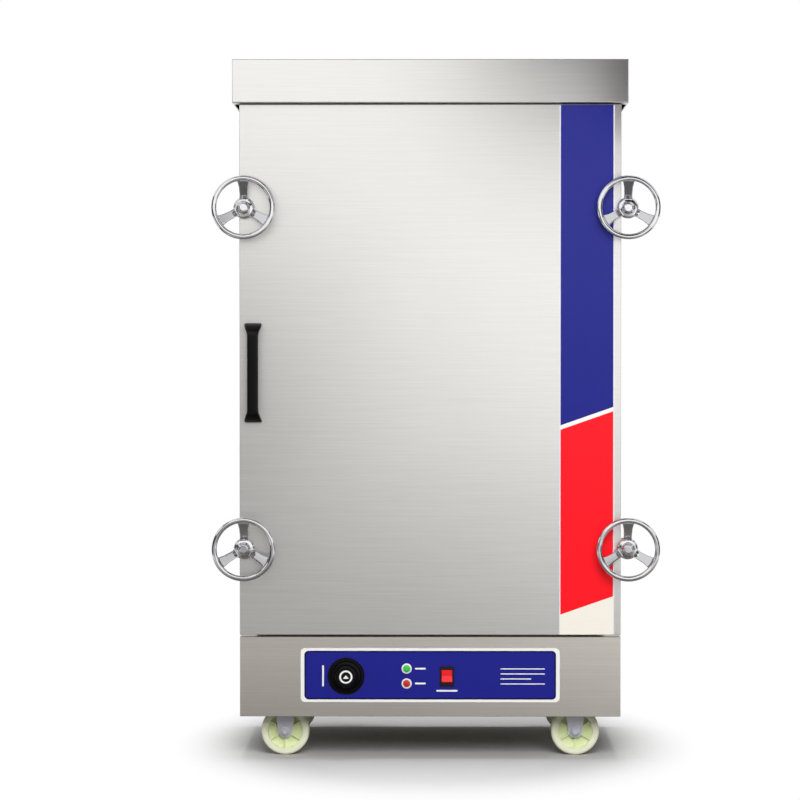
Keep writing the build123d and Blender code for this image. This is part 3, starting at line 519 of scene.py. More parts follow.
# Switch frame, cable gland and thermostat: black nylon from an etched mould, which leaves it dull. The real
# etch is about 0.2 mm. It is drawn at 1.2 mm, as is the texture of each finish below that names no size of
# its own; it is coarser than real on all of them.
BLACK_NYLON = Moulded("black_nylon", "#101012", 0.42)
# Rocker: red polycarbonate, moulded smooth, with a deep even colour and a small soft highlight.
RED_SWITCH = Moulded("red_switch_plastic", "#E8101C", 0.3, coat=0.1)
# Drain lever: steel strip dipped in red PVC and cured, which leaves a soft satin skin.
RED_GRIP = Moulded("red_dipped_grip", "#B3141B", 0.4)
# Control plate's border, marks and knob ring: white screen ink, baked on. Even and a little glossy.
WHITE_PRINT = Moulded("white_enamel_print", "#F4F4F2", 0.35, coat=0.4)
# Control plate's field: blue screen ink, baked on the plate. Flat deep colour with a low gloss. Its speckle
# is drawn at 3 mm, coarser than real.
BLUE_PRINT = Moulded("blue_enamel_print", "#1C1F88", 0.3, texture_mm=3.0, relief=0.02, gloss=0.2)
# Thin dark line around the field: painted shade, a darker print that stands for the shadow along the inside
# of the field's border. It has the same speckle as the field.
NAVY_PAINTED_SHADE = Moulded("navy_painted_shade_line", "#0B0D44", 0.3, texture_mm=3.0, relief=0.02, gloss=0.2)
# Lamp lenses: dyed acrylic, moulded smooth. Deep colour under a clear gloss.
GREEN_LENS = Moulded("green_lamp_lens", "#2FC24A", 0.15, relief=0.02, coat=1.0)
RED_LENS = Moulded("red_lamp_lens", "#C4161C", 0.15, relief=0.02, coat=1.0)
# Lamp bezels: pale ABS, moulded smooth, with a soft gloss.
PALE_BEZEL = Moulded("pale_bezel_plastic", "#F2F1F0", 0.3, coat=0.2)
# Door seal: silicone rubber, extruded and joined at its corners. Matte and pale, with a fine bloom drawn at
# 0.8 mm, coarser than real.
SEAL_RUBBER = Moulded("silicone_seal", "#C9C8C4", 0.55, texture_mm=0.8)
# Insulation: rock wool board, spun and pressed with a binder. Matte tan fibres without any shine. Real fibres
# are about 0.01 mm thick; they are drawn at about 1 mm.
MINERAL_WOOL = Fibre("mineral_wool_board", "#CDBB8A", 0.95)


def middle(node: str) -> Point:
    """Gives the middle of a CAD node's box."""
    low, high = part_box(node)
    return tuple((one + other) / 2 for one, other in zip(low, high))


def only(piece: Piece) -> None:
    """Selects one object alone and makes it the active one.

    Args:
        piece: the object.
    """
    bpy.ops.object.select_all(action="DESELECT")
    piece.select_set(True)
    bpy.context.view_layer.objects.active = piece


def open_edit(piece: Piece, kind: str = "FACE") -> None:
    """Opens one object in edit mode with all of it selected.

    Args:
        piece: the object.
        kind: what is picked, FACE or VERT.
    """
    only(piece)
    bpy.ops.object.mode_set(mode="EDIT")
    bpy.ops.mesh.select_mode(type=kind)
    bpy.ops.mesh.select_all(action="SELECT")


def pull(move: Sequence[float]) -> None:
    """Extrudes what is selected by a move in metres."""
    bpy.ops.mesh.extrude_region_move(TRANSFORM_OT_translate={"value": move})


def close_edit() -> None:
    """Turns all faces outwards and leaves edit mode."""
    bpy.ops.mesh.select_all(action="SELECT")
    bpy.ops.mesh.normals_make_consistent(inside=False)
    bpy.ops.object.mode_set(mode="OBJECT")


def modify(piece: Piece, kind: str, **settings: object) -> None:
    """Adds a modifier with its settings and applies it.

    Args:
        piece: the object.
        kind: Blender's name of the modifier.
        settings: its properties.
    """
    only(piece)
    modifier = piece.modifiers.new(kind.lower(), kind)
    for name, value in settings.items():
        setattr(modifier, name, value)
    bpy.ops.object.modifier_apply(modifier=modifier.name)


def settle(piece: Piece, turn: Point = FLAT, place: Point = ORIGIN) -> None:
    """Turns and moves a piece, and bakes both into its mesh.

    Args:
        piece: the object.
        turn: rotation about x, y and z in radians.
        place: where its origin goes, in metres.
    """
    only(piece)
    piece.rotation_euler = turn
    piece.location = place
    bpy.ops.object.transform_apply(location=True, rotation=True, scale=True)


def soften(piece: Piece) -> None:
    """Shades a piece smooth where its faces meet at a low angle."""
    only(piece)
    bpy.ops.object.shade_smooth_by_angle(angle=SMOOTH_ANGLE)


def fit(piece: Piece, body: str, finish: Finish, slot: str, *nodes: str) -> None:
    """Dresses a finished piece and hangs it on its body.

    Args:
        piece: the object.
        body: the CAD body it moves with.
        finish: its finish.
        slot: the record's material slot; not used.
        nodes: CAD nodes that it stands for.
    """
    piece.data.materials.clear()
    piece.data.materials.append(finish.material())
    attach(piece, body)
    if nodes:
        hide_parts(*nodes)
    log.info("piece %s on %s", piece.name, body)


def primitive(add: Callable[..., object], name: str, **settings: object) -> Piece:
    """Adds one primitive alone, with its place in its mesh.

    Args:
        add: Blender's operator for it.
        name: the new object's name.
        settings: what the operator takes.

    Returns:
        The new object.
    """
    bpy.ops.object.select_all(action="DESELECT")
    add(**settings)
    piece = bpy.context.object
    piece.name = name
    bpy.ops.object.transform_apply(location=True, rotation=True, scale=True)
    return piece


def sheet(name: str, width: float, depth: float, place: Point = ORIGIN) -> Piece:
    """Adds one level face with its size and place in its mesh.

    Args:
        name: the new object's name.
        width: size in x, in metres.
        depth: size in y, in metres.
        place: its middle, in metres.

    Returns:
        The new object.
    """
    piece = primitive(bpy.ops.mesh.primitive_plane_add, name, size=1)
    piece.scale = (width, depth, 1)
    settle(piece, place=place)
    return piece


def turned(name: str, sections: Sequence[tuple[float, float]], sides: int = 96) -> Piece:
    """Models a closed turned form, ring by ring along +z.

    Args:
        name: the new object's name.
        sections: radius and height of each ring in millimetres, from the first to the last.
        sides: number of sides.

    Returns:
        The new object, about the z axis.
    """
    radius, height = sections[0]
    piece = primitive(bpy.ops.mesh.primitive_circle_add, name, vertices=sides, radius=radius * MM,
                      fill_type="NGON", location=(0, 0, height * MM))
    open_edit(piece)
    for next_radius, next_height in sections[1:]:
        pull((0, 0, (next_height - height) * MM))
        ratio = next_radius / radius
        bpy.ops.transform.resize(value=(ratio, ratio, 1), center_override=(0, 0, next_height * MM))
        radius, height = next_radius, next_height
    close_edit()
    return piece


def lofted(name: str, sections: Sequence[tuple[float, float, float, float]]) -> Piece:
    """Models a closed bar along z from rectangular sections.

    Args:
        name: the new object's name.
        sections: height, half width in x, and front and back in y, in millimetres, from the bottom up.

    Returns:
        The new object.
    """
    height, half, front, back = sections[0]
    piece = sheet(name, 2 * half * MM, (back - front) * MM, (0, (front + back) / 2 * MM, height * MM))
    open_edit(piece)
    for next_height, next_half, next_front, next_back in sections[1:]:
        centre = (next_front + next_back) / 2
        pull((0, (centre - (front + back) / 2) * MM, (next_height - height) * MM))
        ratio = (next_half / half, (next_back - next_front) / (back - front), 1)
        bpy.ops.transform.resize(value=ratio, center_override=(0, centre * MM, next_height * MM))
        height, half, front, back = next_height, next_half, next_front, next_back
    close_edit()
    return piece


def rounded_plate(name: str, width: float, height: float, thickness: float, corner: float) -> Piece:
    """Models a flat plate with round corners, its back on the plane z = 0.

    Args:
        name: the new object's name.
        width: size in x, in millimetres.
        height: size in y, in millimetres.
        thickness: size in z, in millimetres.
        corner: radius of its corners, in millimetres.

    Returns:
        The new object.
    """
    piece = sheet(name, width * MM, height * MM)
    open_edit(piece, "VERT")
    bpy.ops.mesh.bevel(offset=corner * MM, segments=8, affect="VERTICES")
    bpy.ops.mesh.select_mode(type="FACE")
    bpy.ops.mesh.select_all(action="SELECT")
    pull((0, 0, thickness * MM))
    close_edit()
    return piece


@dataclass
class Handwheels:
    """Four dished handwheels, cast in one piece with flared spokes and chrome plated.

    Args:
        rim_radius: radius of the rim's centre line, in millimetres, as are all sizes here but the voxel.
        rim_tube: radius of the rim's own section.
        dish: how far the rim stands before the back of the hub.
        hub_rings: radius and height of the hub's rings, from its back over flange and chamfer to the boss.
        spoke_root: where a spoke begins, from the axle.
        spoke_low: how far its root stands before the back of the hub.
        spoke_halves: share of the way to the rim and half width there, narrow at first and then flared.
        spoke_sheet: its thickness.
        screw_radius: radius of the set screw's hole.
        screw_place: how far the hole is from the axle.
        screw_turn: its angle in degrees.
        voxel: grid of the cast surface, in metres.
        smoothing: how often that surface is smoothed.
        wheels: the CAD node and the body of each wheel.
    """

    rim_radius: float = 54.9
    rim_tube: float = 5.1
    dish: float = 34.0
    hub_rings: Rings = ((17.0, 0.0), (20.2, 2.0), (20.2, 7.0), (17.2, 10.5), (12.1, 12.0), (9.6, 14.0),
                        (9.6, 22.0), (7.2, 24.0))
    spoke_root: float = 12.0
    spoke_low: float = 5.5
    spoke_halves: tuple[tuple[float, float], ...] = (
        (0.0, 9.0), (0.25, 7.6), (0.6, 8.4), (0.82, 10.5), (0.94, 13.5), (1.0, 15.0),
    )
    spoke_sheet: float = 5.5
    screw_radius: float = 1.7
    screw_place: float = 22.4
    screw_turn: float = -30.0
    voxel: float = 0.0008
    smoothing: int = 9
    wheels: tuple[tuple[str, str], ...] = (
        ("latch_wheel_upper", "latch_upper"), ("latch_wheel_lower", "latch_lower"),
        ("hinge_wheel_upper", "hinge_handwheel_upper"), ("hinge_wheel_lower", "hinge_handwheel_lower"),
    )

    def spoke(self, angle: float) -> Piece:
        """Models one spoke from the hub to the rim, narrow at its middle and flared at the rim.

        Args:
            angle: its turn about the axle, in radians.

        Returns:
            The spoke.
        """
        reach = self.rim_radius - self.spoke_root
        sheet_half = self.spoke_sheet / 2
        sections = []
        for share, half in self.spoke_halves:
            height = self.spoke_root + reach * share
            rise = self.spoke_low + (self.dish - self.spoke_low) * share
            sections.append((height, half, rise - sheet_half, rise + sheet_half))
        spoke = lofted("spoke", sections)
        for turn in (TO_BACK, (0, math.pi, 0), (0, 0, angle)):
            settle(spoke, turn)
        return spoke

    def cast(self) -> Piece:
        """Joins all parts of a wheel under one cast skin with soft fillets, and drills its screw hole.

        Returns:
            The wheel, its back on z = 0.
        """
        rim = primitive(bpy.ops.mesh.primitive_torus_add, "handwheel_pattern",
                        major_radius=self.rim_radius * MM, minor_radius=self.rim_tube * MM,
                        major_segments=96, minor_segments=24, location=(0, 0, self.dish * MM))
        hub = turned("hub", self.hub_rings)
        parts = [rim, hub] + [self.spoke(math.radians(turn)) for turn in (0, 120, 240)]
        bpy.ops.object.select_all(action="DESELECT")
        for part in parts:
            part.select_set(True)
        bpy.context.view_layer.objects.active = rim
        bpy.ops.object.join()
        modify(rim, "REMESH", mode="VOXEL", voxel_size=self.voxel)
        drill = turned("drill", [(self.screw_radius, -2), (self.screw_radius, self.dish)], sides=24)
        angle = math.radians(self.screw_turn)
        reach = self.screw_place * MM
        settle(drill, place=(reach * math.cos(angle), reach * math.sin(angle), 0))
        modify(rim, "SMOOTH", factor=0.5, iterations=self.smoothing)
        modify(rim, "BOOLEAN", operation="DIFFERENCE", object=drill, solver="EXACT")
        bpy.data.objects.remove(drill)
        return rim

    def dress(self) -> None:
        """Copies the cast wheel to its four places."""
        pattern = self.cast()
        for node, body in self.wheels:
            x, _, z = middle(node)
            wheel = pattern.copy()
            wheel.data = pattern.data.copy()
            bpy.context.scene.collection.objects.link(wheel)
            wheel.name = node + "_cast"
            settle(wheel, TO_FRONT, (x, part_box(node)[1].y, z))
            soften(wheel)
            fit(wheel, body, CHROME, "polished_steel", node)
        bpy.data.objects.remove(pattern)


@dataclass
class PullHandle:
    """Black moulded handle: a rounded bar between two feet that flare to the door.

    Args:
        half_length: half of its length, in millimetres, as are all sizes here.
        bar_half: half width of the bar.
        stand_off: how far its front stands before the door.
        bar_depth: depth of the bar.
        rounding: radius of its edges.
        foot: sections from the foot's end to the bar: height, half width added to the bar's, and how much
            of the full way to the bar's front and back each one reaches.
    """

    half_length: float = 94.0
    bar_half: float = 10.5
    stand_off: float = 36.0
    bar_depth: float = 11.0
    rounding: float = 3.2
    foot: tuple[tuple[float, float, float, float], ...] = (
        (0, 6.0, 0.30, 0), (3, 6.0, 0.52, 0), (8, 5.0, 0.80, 0), (15, 2.0, 0.97, 0), (21, 0, 1, 0.35),
        (28, 0, 1, 0.86), (36, 0, 1, 1),
    )

    def dress(self) -> None:
        """Models the handle from its lower foot to its upper foot, and rounds it."""
        out = -self.stand_off
        inner = out + self.bar_depth
        lower = [(rise - self.half_length, self.bar_half + wider, out * front, inner * back)
                 for rise, wider, front, back in self.foot]
        upper = [(-height, half, front, back) for height, half, front, back in reversed(lower)]
        bar = lofted("door_handle_moulded", lower + upper)
        modify(bar, "BEVEL", width=self.rounding * MM, segments=3, limit_method="ANGLE",
               angle_limit=SHARP_ANGLE)
        modify(bar, "SUBSURF", levels=2, render_levels=2)
        x, _, z = middle("door_handle")
        settle(bar, place=(x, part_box("door_handle")[1].y, z))
        soften(bar)
        fit(bar, "door", BLACK_RESIN, "black_plastic", "door_handle")


@dataclass
class DoorSeal:
    """Silicone seal around the door's back, with a bulb that stands up from a flat foot.

    Args:
        width: width of the foot, in millimetres, as are all sizes here.
        foot: thickness of the foot.
        lip: how far the foot reaches past the bulb on each side.
        rounding: radius of its edges.
    """

    width: float = 18.0
    foot: float = 3.0
    lip: float = 3.0
    rounding: float = 1.6

    def dress(self) -> None:
        """Models the ring from a plane that is inset, opened, raised and rounded."""
        low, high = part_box("door_gasket")
        ring = sheet("door_gasket_moulded", high.x - low.x, high.z - low.z)
        open_edit(ring)
        bpy.ops.mesh.inset(thickness=self.width * MM)
        bpy.ops.mesh.delete(type="FACE")
        bpy.ops.mesh.select_all(action="SELECT")
        pull((0, 0, self.foot * MM))
        bpy.ops.mesh.inset(thickness=self.lip * MM)
        pull((0, 0, (high.y - low.y) - self.foot * MM))
        close_edit()
        modify(ring, "BEVEL", width=self.rounding * MM, segments=3, limit_method="ANGLE",
               angle_limit=SHARP_ANGLE)
        x, _, z = middle("door_gasket")
        settle(ring, TO_BACK, (x, low.y, z))
        soften(ring)
        fit(ring, "door", SEAL_RUBBER, "gasket_rubber", "door_gasket")


@dataclass
class Fasteners:
    """Axle bolts of the casters, and the screws that hold the back panel.

    Args:
        bolt_flats: width across a bolt head's flats, in millimetres, as are all sizes here.
        bolt_rings: how far each ring of its head is inside the corners, and its height.
        washer_rings: radius and height of the washer's rings.
        screw_rings: radius and height of the rings of a back screw's head.
        screw_recess: size of one slot of its cross recess.
        recess_height: height of the slot's middle.
        screw_edge: how far the screws stand from the panel's edge.
        screws_up: how many there are along each upright edge.
        screws_across: how many more along the top and the bottom.
    """

    bolt_flats: float = 11.0
    bolt_rings: Rings = ((0.0, 0.4), (0.0, 3.6), (0.7, 4.2))
    washer_rings: Rings = ((8.2, -1.0), (8.2, 1.0), (7.7, 1.3))
    screw_rings: Rings = ((4.0, -1.0), (4.0, 0.6), (3.5, 1.5), (2.4, 2.1), (0.5, 2.3))
    screw_recess: Point = (0.9, 4.4, 1.6)
    recess_height: float = 2.2
    screw_edge: float = 12.0
    screws_up: int = 6
    screws_across: int = 4

    def axle_bolt(self, corner: str) -> None:
        """Sets a hexagon bolt head on a washer, on the front cheek of one fork.

        Args:
            corner: the caster's place.
        """
        x, _, z = middle("caster_wheel_" + corner)
        place = (x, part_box("caster_fork_" + corner)[0].y, z)
        washer = turned("axle_washer_" + corner, self.washer_rings, sides=48)
        radius = self.bolt_flats / math.sqrt(3)
        rings = [(radius - inside, height) for inside, height in self.bolt_rings]
        bolt = turned("axle_bolt_" + corner, rings, sides=6)
        for piece in (washer, bolt):
            settle(piece, TO_FRONT, place)
            soften(piece)
            fit(piece, "caster_" + corner, ZINC, "zinc_steel")

    def panel_screw(self, number: int, x: float, y: float, z: float) -> None:
        """Sets a pan head screw with a cross recess in the back panel.

        Args:
            number: its place in the row.
            x: centre in metres.
            y: the panel's face in metres.
            z: centre in metres.
        """
        screw = turned("back_screw_%02d" % number, self.screw_rings, sides=24)
        place = (0, 0, self.recess_height * MM)
        for turn in (0, math.pi / 2):
            slot = primitive(bpy.ops.mesh.primitive_cube_add, "recess", size=1)
            slot.scale = tuple(size * MM for size in self.screw_recess)
            settle(slot, (0, 0, turn), place)
            modify(screw, "BOOLEAN", operation="DIFFERENCE", object=slot, solver="EXACT")
            bpy.data.objects.remove(slot)
        settle(screw, TO_BACK, (x, y, z))
        soften(screw)
        fit(screw, "cabinet", MACHINED_STEEL, "folded_steel")

    def dress(self) -> None:
        """Adds every bolt and screw."""
        for corner in CORNERS:
            self.axle_bolt(corner)
        low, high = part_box("back_panel")
        edge = self.screw_edge * MM
        places = []
        for index in range(self.screws_up):
            z = low.z + edge + (high.z - low.z - 2 * edge) * index / (self.screws_up - 1)
            places += [(low.x + edge, z), (high.x - edge, z)]
        for index in range(1, self.screws_across + 1):
            x = low.x + edge + (high.x - low.x - 2 * edge) * index / (self.screws_across + 1)
            places += [(x, low.z + edge), (x, high.z - edge)]
        for number, (x, z) in enumerate(places):
            self.panel_screw(number + 1, x, high.y, z)


@dataclass
class ControlPanel:
    """Printed plate with its lamps, its knob and plain marks beside the controls.

    Args:
        border: width of the white border, in millimetres, as are all sizes here.
        extra: how much higher the field is than the border alone would leave it.
        line: width of the dark line around the field, which is painted shade.
        field_corner: radius of the field's corners.
        print_height: thickness of one print.
        mark: thickness of a mark.
        mark_corner: radius of a mark's corners.
        mark_layer: how many prints deep a mark lies.
        lamp_mark: length of the marks beside the lamps.
        lamp_gap: how far their middles are from the lamps' edge.
        long_mark: length of the marks beside the knob and under the switch.
        knob_gap: how far the one is from the knob's edge.
        switch_gap: how far the other is below the switch.
        rules: lengths of the fine rules at the right.
        rule_width: thickness of a rule.
        rule_corner: radius of its corners.
        rule_pitch: how far the rules stand apart.
        rules_from: where they begin, right of the plate's middle.
        rules_top: height of the first one over the plate's middle.
        bezel_rings: radius and height of the rings of a lamp's bezel.
        lens_rings: rings of its lens.
        knob_rings: rings of the stepped knob, from its stem to the edge of its top.
        ring_rings: rings of the pale ring on its top.
        cap_rings: rings of the cap inside that.
        pointer_sections: height, half width, front and back of the pointer's sections.
    """

    border: float = 7.0
    extra: float = 4.0
    line: float = 2.8
    field_corner: float = 8.0
    print_height: float = 0.12
    mark: float = 3.2
    mark_corner: float = 1.4
    mark_layer: int = 3
    lamp_mark: float = 20.0
    lamp_gap: float = 16.0
    long_mark: float = 40.0
    knob_gap: float = 9.0
    switch_gap: float = 8.0
    rules: tuple[float, ...] = (84, 84, 58, 84)
    rule_width: float = 1.8
    rule_corner: float = 0.8
    rule_pitch: float = 9.5
    rules_from: float = 133.0
    rules_top: float = 12.0
    bezel_rings: Rings = ((5.6, -18.0), (5.6, 0.0), (9.8, 0.0), (9.8, 1.2), (9.0, 2.3), (7.6, 2.5),
                          (6.9, 1.6))
    lens_rings: Rings = ((6.6, 1.0), (6.6, 3.2), (6.1, 4.1), (5.0, 4.7), (3.2, 5.0), (1.0, 5.0))
    knob_rings: Rings = (
        (3.0, -15.0), (3.0, 0.3), (34.2, 0.3), (34.7, 0.9), (34.7, 3.4), (33.4, 5.0), (30.4, 5.3),
        (29.8, 4.6), (28.4, 4.6), (27.6, 5.6), (26.6, 8.0), (24.2, 8.6), (23.6, 8.0), (22.2, 8.2),
        (21.4, 9.6), (20.8, 21.0), (19.6, 23.4), (17.6, 24.2), (17.0, 23.4), (13.2, 23.4),
    )
    ring_rings: Rings = ((12.4, 23.2), (12.4, 23.9), (11.9, 24.2), (9.7, 24.2), (9.2, 23.9), (9.2, 23.5))
    cap_rings: Rings = ((9.2, 23.3), (9.2, 24.0), (8.6, 24.2))
    pointer_sections: tuple[tuple[float, float, float, float], ...] = (
        (-3.2, 4.6, 24.1, 24.4), (-1.6, 4.6, 24.1, 24.4), (2.6, 0.8, 24.1, 24.4),
    )

    def print_block(self, name: str, finish: Finish, x: float, z: float, width: float, height: float,
                    layer: int, corner: float) -> None:
        """Lays one printed shape on the plate.

        Args:
            name: the piece's name.
            finish: its colour.
            x: centre in the frame, in millimetres.
            z: centre in the frame, in millimetres.
            width: size across, in millimetres.
            height: size upwards, in millimetres.
            layer: how many prints deep it lies.
            corner: corner radius in millimetres.
        """
        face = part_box("control_plate")[0].y
        plate = rounded_plate(name, width, height, self.print_height * layer, corner)
        settle(plate, TO_FRONT, (x * MM, face, z * MM))
        fit(plate, "cabinet", finish, "control_film")

    def prints(self) -> None:
        """Lays the blue field in its white border, and plain marks beside the controls."""
        low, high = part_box("control_plate")
        x, _, z = (part / MM for part in middle("control_plate"))
        width = (high.x - low.x) / MM - 2 * self.border
        height = (high.z - low.z) / MM - 2 * self.border + self.extra
        # The dark line around the field is painted shade along the inside of its border.
        self.print_block("panel_shade_line", NAVY_PAINTED_SHADE, x, z, width, height, 1, self.field_corner)
        inner = 2 * self.line
        self.print_block("panel_field", BLUE_PRINT, x, z, width - inner, height - inner, 2,
                         self.field_corner - 1)
        beside_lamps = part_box("lamp_green")[1].x / MM + self.lamp_gap
        beside_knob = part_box("knob")[0].x / MM - self.knob_gap
        below_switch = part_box("rocker_frame")[0].z / MM - self.switch_gap
        bar = self.mark
        marks = [
            ("green", beside_lamps, middle("lamp_green")[2] / MM, self.lamp_mark, bar),
            ("red", beside_lamps, middle("lamp_red")[2] / MM, self.lamp_mark, bar),
            ("knob", beside_knob, middle("knob")[2] / MM, bar, self.long_mark),
            ("switch", middle("rocker_frame")[0] / MM, below_switch, self.long_mark, bar),
        ]
        for name, mark_x, mark_z, mark_width, mark_height in marks:
            self.print_block("panel_mark_" + name, WHITE_PRINT, mark_x, mark_z, mark_width, mark_height,
                             self.mark_layer, self.mark_corner)
        for index, length in enumerate(self.rules):
            self.print_block("panel_rule_%d" % (index + 1), WHITE_PRINT, x + self.rules_from + length / 2,
                             z + self.rules_top - index * self.rule_pitch, length, self.rule_width,
                             self.mark_layer, self.rule_corner)

    def seat(self, name: str, rings: Rings, node: str) -> Piece:
        """Turns a round piece and sets it on the plate where a node is.

        Args:
            name: the piece's name.
            rings: radius and height of its rings.
            node: the CAD node that gives its place.

        Returns:
            The piece.
        """
        piece = turned(name, rings)
        x, _, z = middle(node)
        settle(piece, TO_FRONT, (x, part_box("control_plate")[0].y, z))
        soften(piece)
        return piece

    def lamp(self, name: str, lens: Finish, slot: str) -> None:
        """Models one indicator lamp: a pale bezel and a domed lens.

        Args:
            name: the CAD node that it stands for.
            lens: finish of the lens.
            slot: the record's slot of the lens.
        """
        fit(self.seat(name + "_bezel", self.bezel_rings, name), "cabinet", PALE_BEZEL, slot, name)
        fit(self.seat(name + "_lens", self.lens_rings, name), "cabinet", lens, slot)

    def knob(self) -> None:
        """Models the stepped knob of concentric rings, with a pale ring and a pointer on its cap."""
        body = self.seat("knob_turned", self.knob_rings, "knob")
        fit(body, "knob", BLACK_RESIN, "black_plastic", "knob")
        for name, rings, finish in (("knob_ring", self.ring_rings, WHITE_PRINT),
                                    ("knob_cap", self.cap_rings, BLACK_RESIN)):
            fit(self.seat(name, rings, "knob"), "knob", finish, "black_plastic")
        pointer = lofted("knob_pointer", self.pointer_sections)
        x, _, z = middle("knob")
        settle(pointer, (0, 0, math.pi))
        settle(pointer, place=(x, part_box("control_plate")[0].y, z))
        fit(pointer, "knob", WHITE_PRINT, "black_plastic")

    def dress(self) -> None:
        """Builds all of the panel."""
        self.prints()
        self.lamp("lamp_green", GREEN_LENS, "green_lens")
        self.lamp("lamp_red", RED_LENS, "red_lens")
        self.knob()


@dataclass
class CadFinishes:
    """Finishes of the CAD nodes that stay in view.

    Args:
        slope: rise of the door strip's borders for each metre to the right.
        red_from: where its red field begins, as a share of its height.
        pale_from: where the pale line above it begins.
        blue_from: where its blue field begins.
        edge_mm: width of its pale edge.
    """

    slope: float = 0.35
    red_from: float = 0.055
    pale_from: float = 0.405
    blue_from: float = 0.413
    edge_mm: float = 2.0

    def by_finish(self) -> dict[Finish, tuple[str, ...]]:
        """Lists the nodes of each finish.

        Returns:
            The CAD nodes that each finish goes on.
        """
        low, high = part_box("door_strip")
        height = high.z - low.z
        centre = middle("door_strip")[0]
        foot = low.z - self.slope * centre
        # Door strip: vinyl film, screen printed in flat colours and laid on the door. Even, with a low
        # gloss. The speckle of its ink is drawn at about 4 mm, coarser than real.
        strip = PrintedFilm("printed_door_film", "#EFEBE0", 0.3, slope=self.slope, middle=centre,
                            half=(high.x - low.x) / 2 - self.edge_mm * MM,
                            fields=((foot + self.red_from * height, "#F70F20"),
                                    (foot + self.pale_from * height, "#F1EFEA"),
                                    (foot + self.blue_from * height, "#191E7E")))
        table = {
            DOOR_STEEL: ("door_skin", "hood"),
            BASE_STEEL_PAINTED_WARMTH: ("base_panel", "base_chassis"),
            SIDE_STEEL: ("outer_shell",),
            ROLLED_STEEL: ("back_panel", "chamber_liner", "door_pan", "wall_brackets", "hinge_lugs",
                           "water_tank", "steam_plate", "rack_left", "rack_right", "steam_vent"),
            TRAY_STEEL: tuple("tray_%d" % (index + 1) for index in range(8)),
            MACHINED_STEEL: ("latch_shaft_upper", "latch_shaft_lower", "latch_bushes", "hinge_bolts",
                             "hinge_pins", "hinge_washer_upper", "hinge_washer_lower"),
            ZINC: tuple("caster_fork_" + corner for corner in CORNERS) + ("caster_plates",),
            BRASS: ("drain_valve", "water_inlet"),
            HEATER_ALLOY: ("heating_elements",),
            BLACK_NYLON: ("rocker_frame", "cable_gland", "thermostat"),
            RED_SWITCH: ("rocker",),
            RED_GRIP: ("drain_lever",),
            WHITE_PRINT: ("control_plate",),
            MINERAL_WOOL: ("insulation", "door_insulation"),
            strip: ("door_strip",),
        }
        # Caster wheels: nylon, cast and turned. Waxy cream at the thick tread, yellow-green in the thin web.
        # The mottle is drawn at about 11 mm, coarser than real.
        for corner in CORNERS:
            wheel = "caster_wheel_" + corner
            table[CasterNylon("cast_nylon_" + corner, "#F1F3DA", 0.4, centre=middle(wheel))] = (wheel,)
        return table

    def dress(self) -> None:
        """Gives each node its finish."""
        for finish, nodes in self.by_finish().items():
            for node in nodes:
                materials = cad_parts[node].data.materials
                materials.clear()
                materials.append(finish.material())
                log.info("finish %s on %s", finish.name, node)


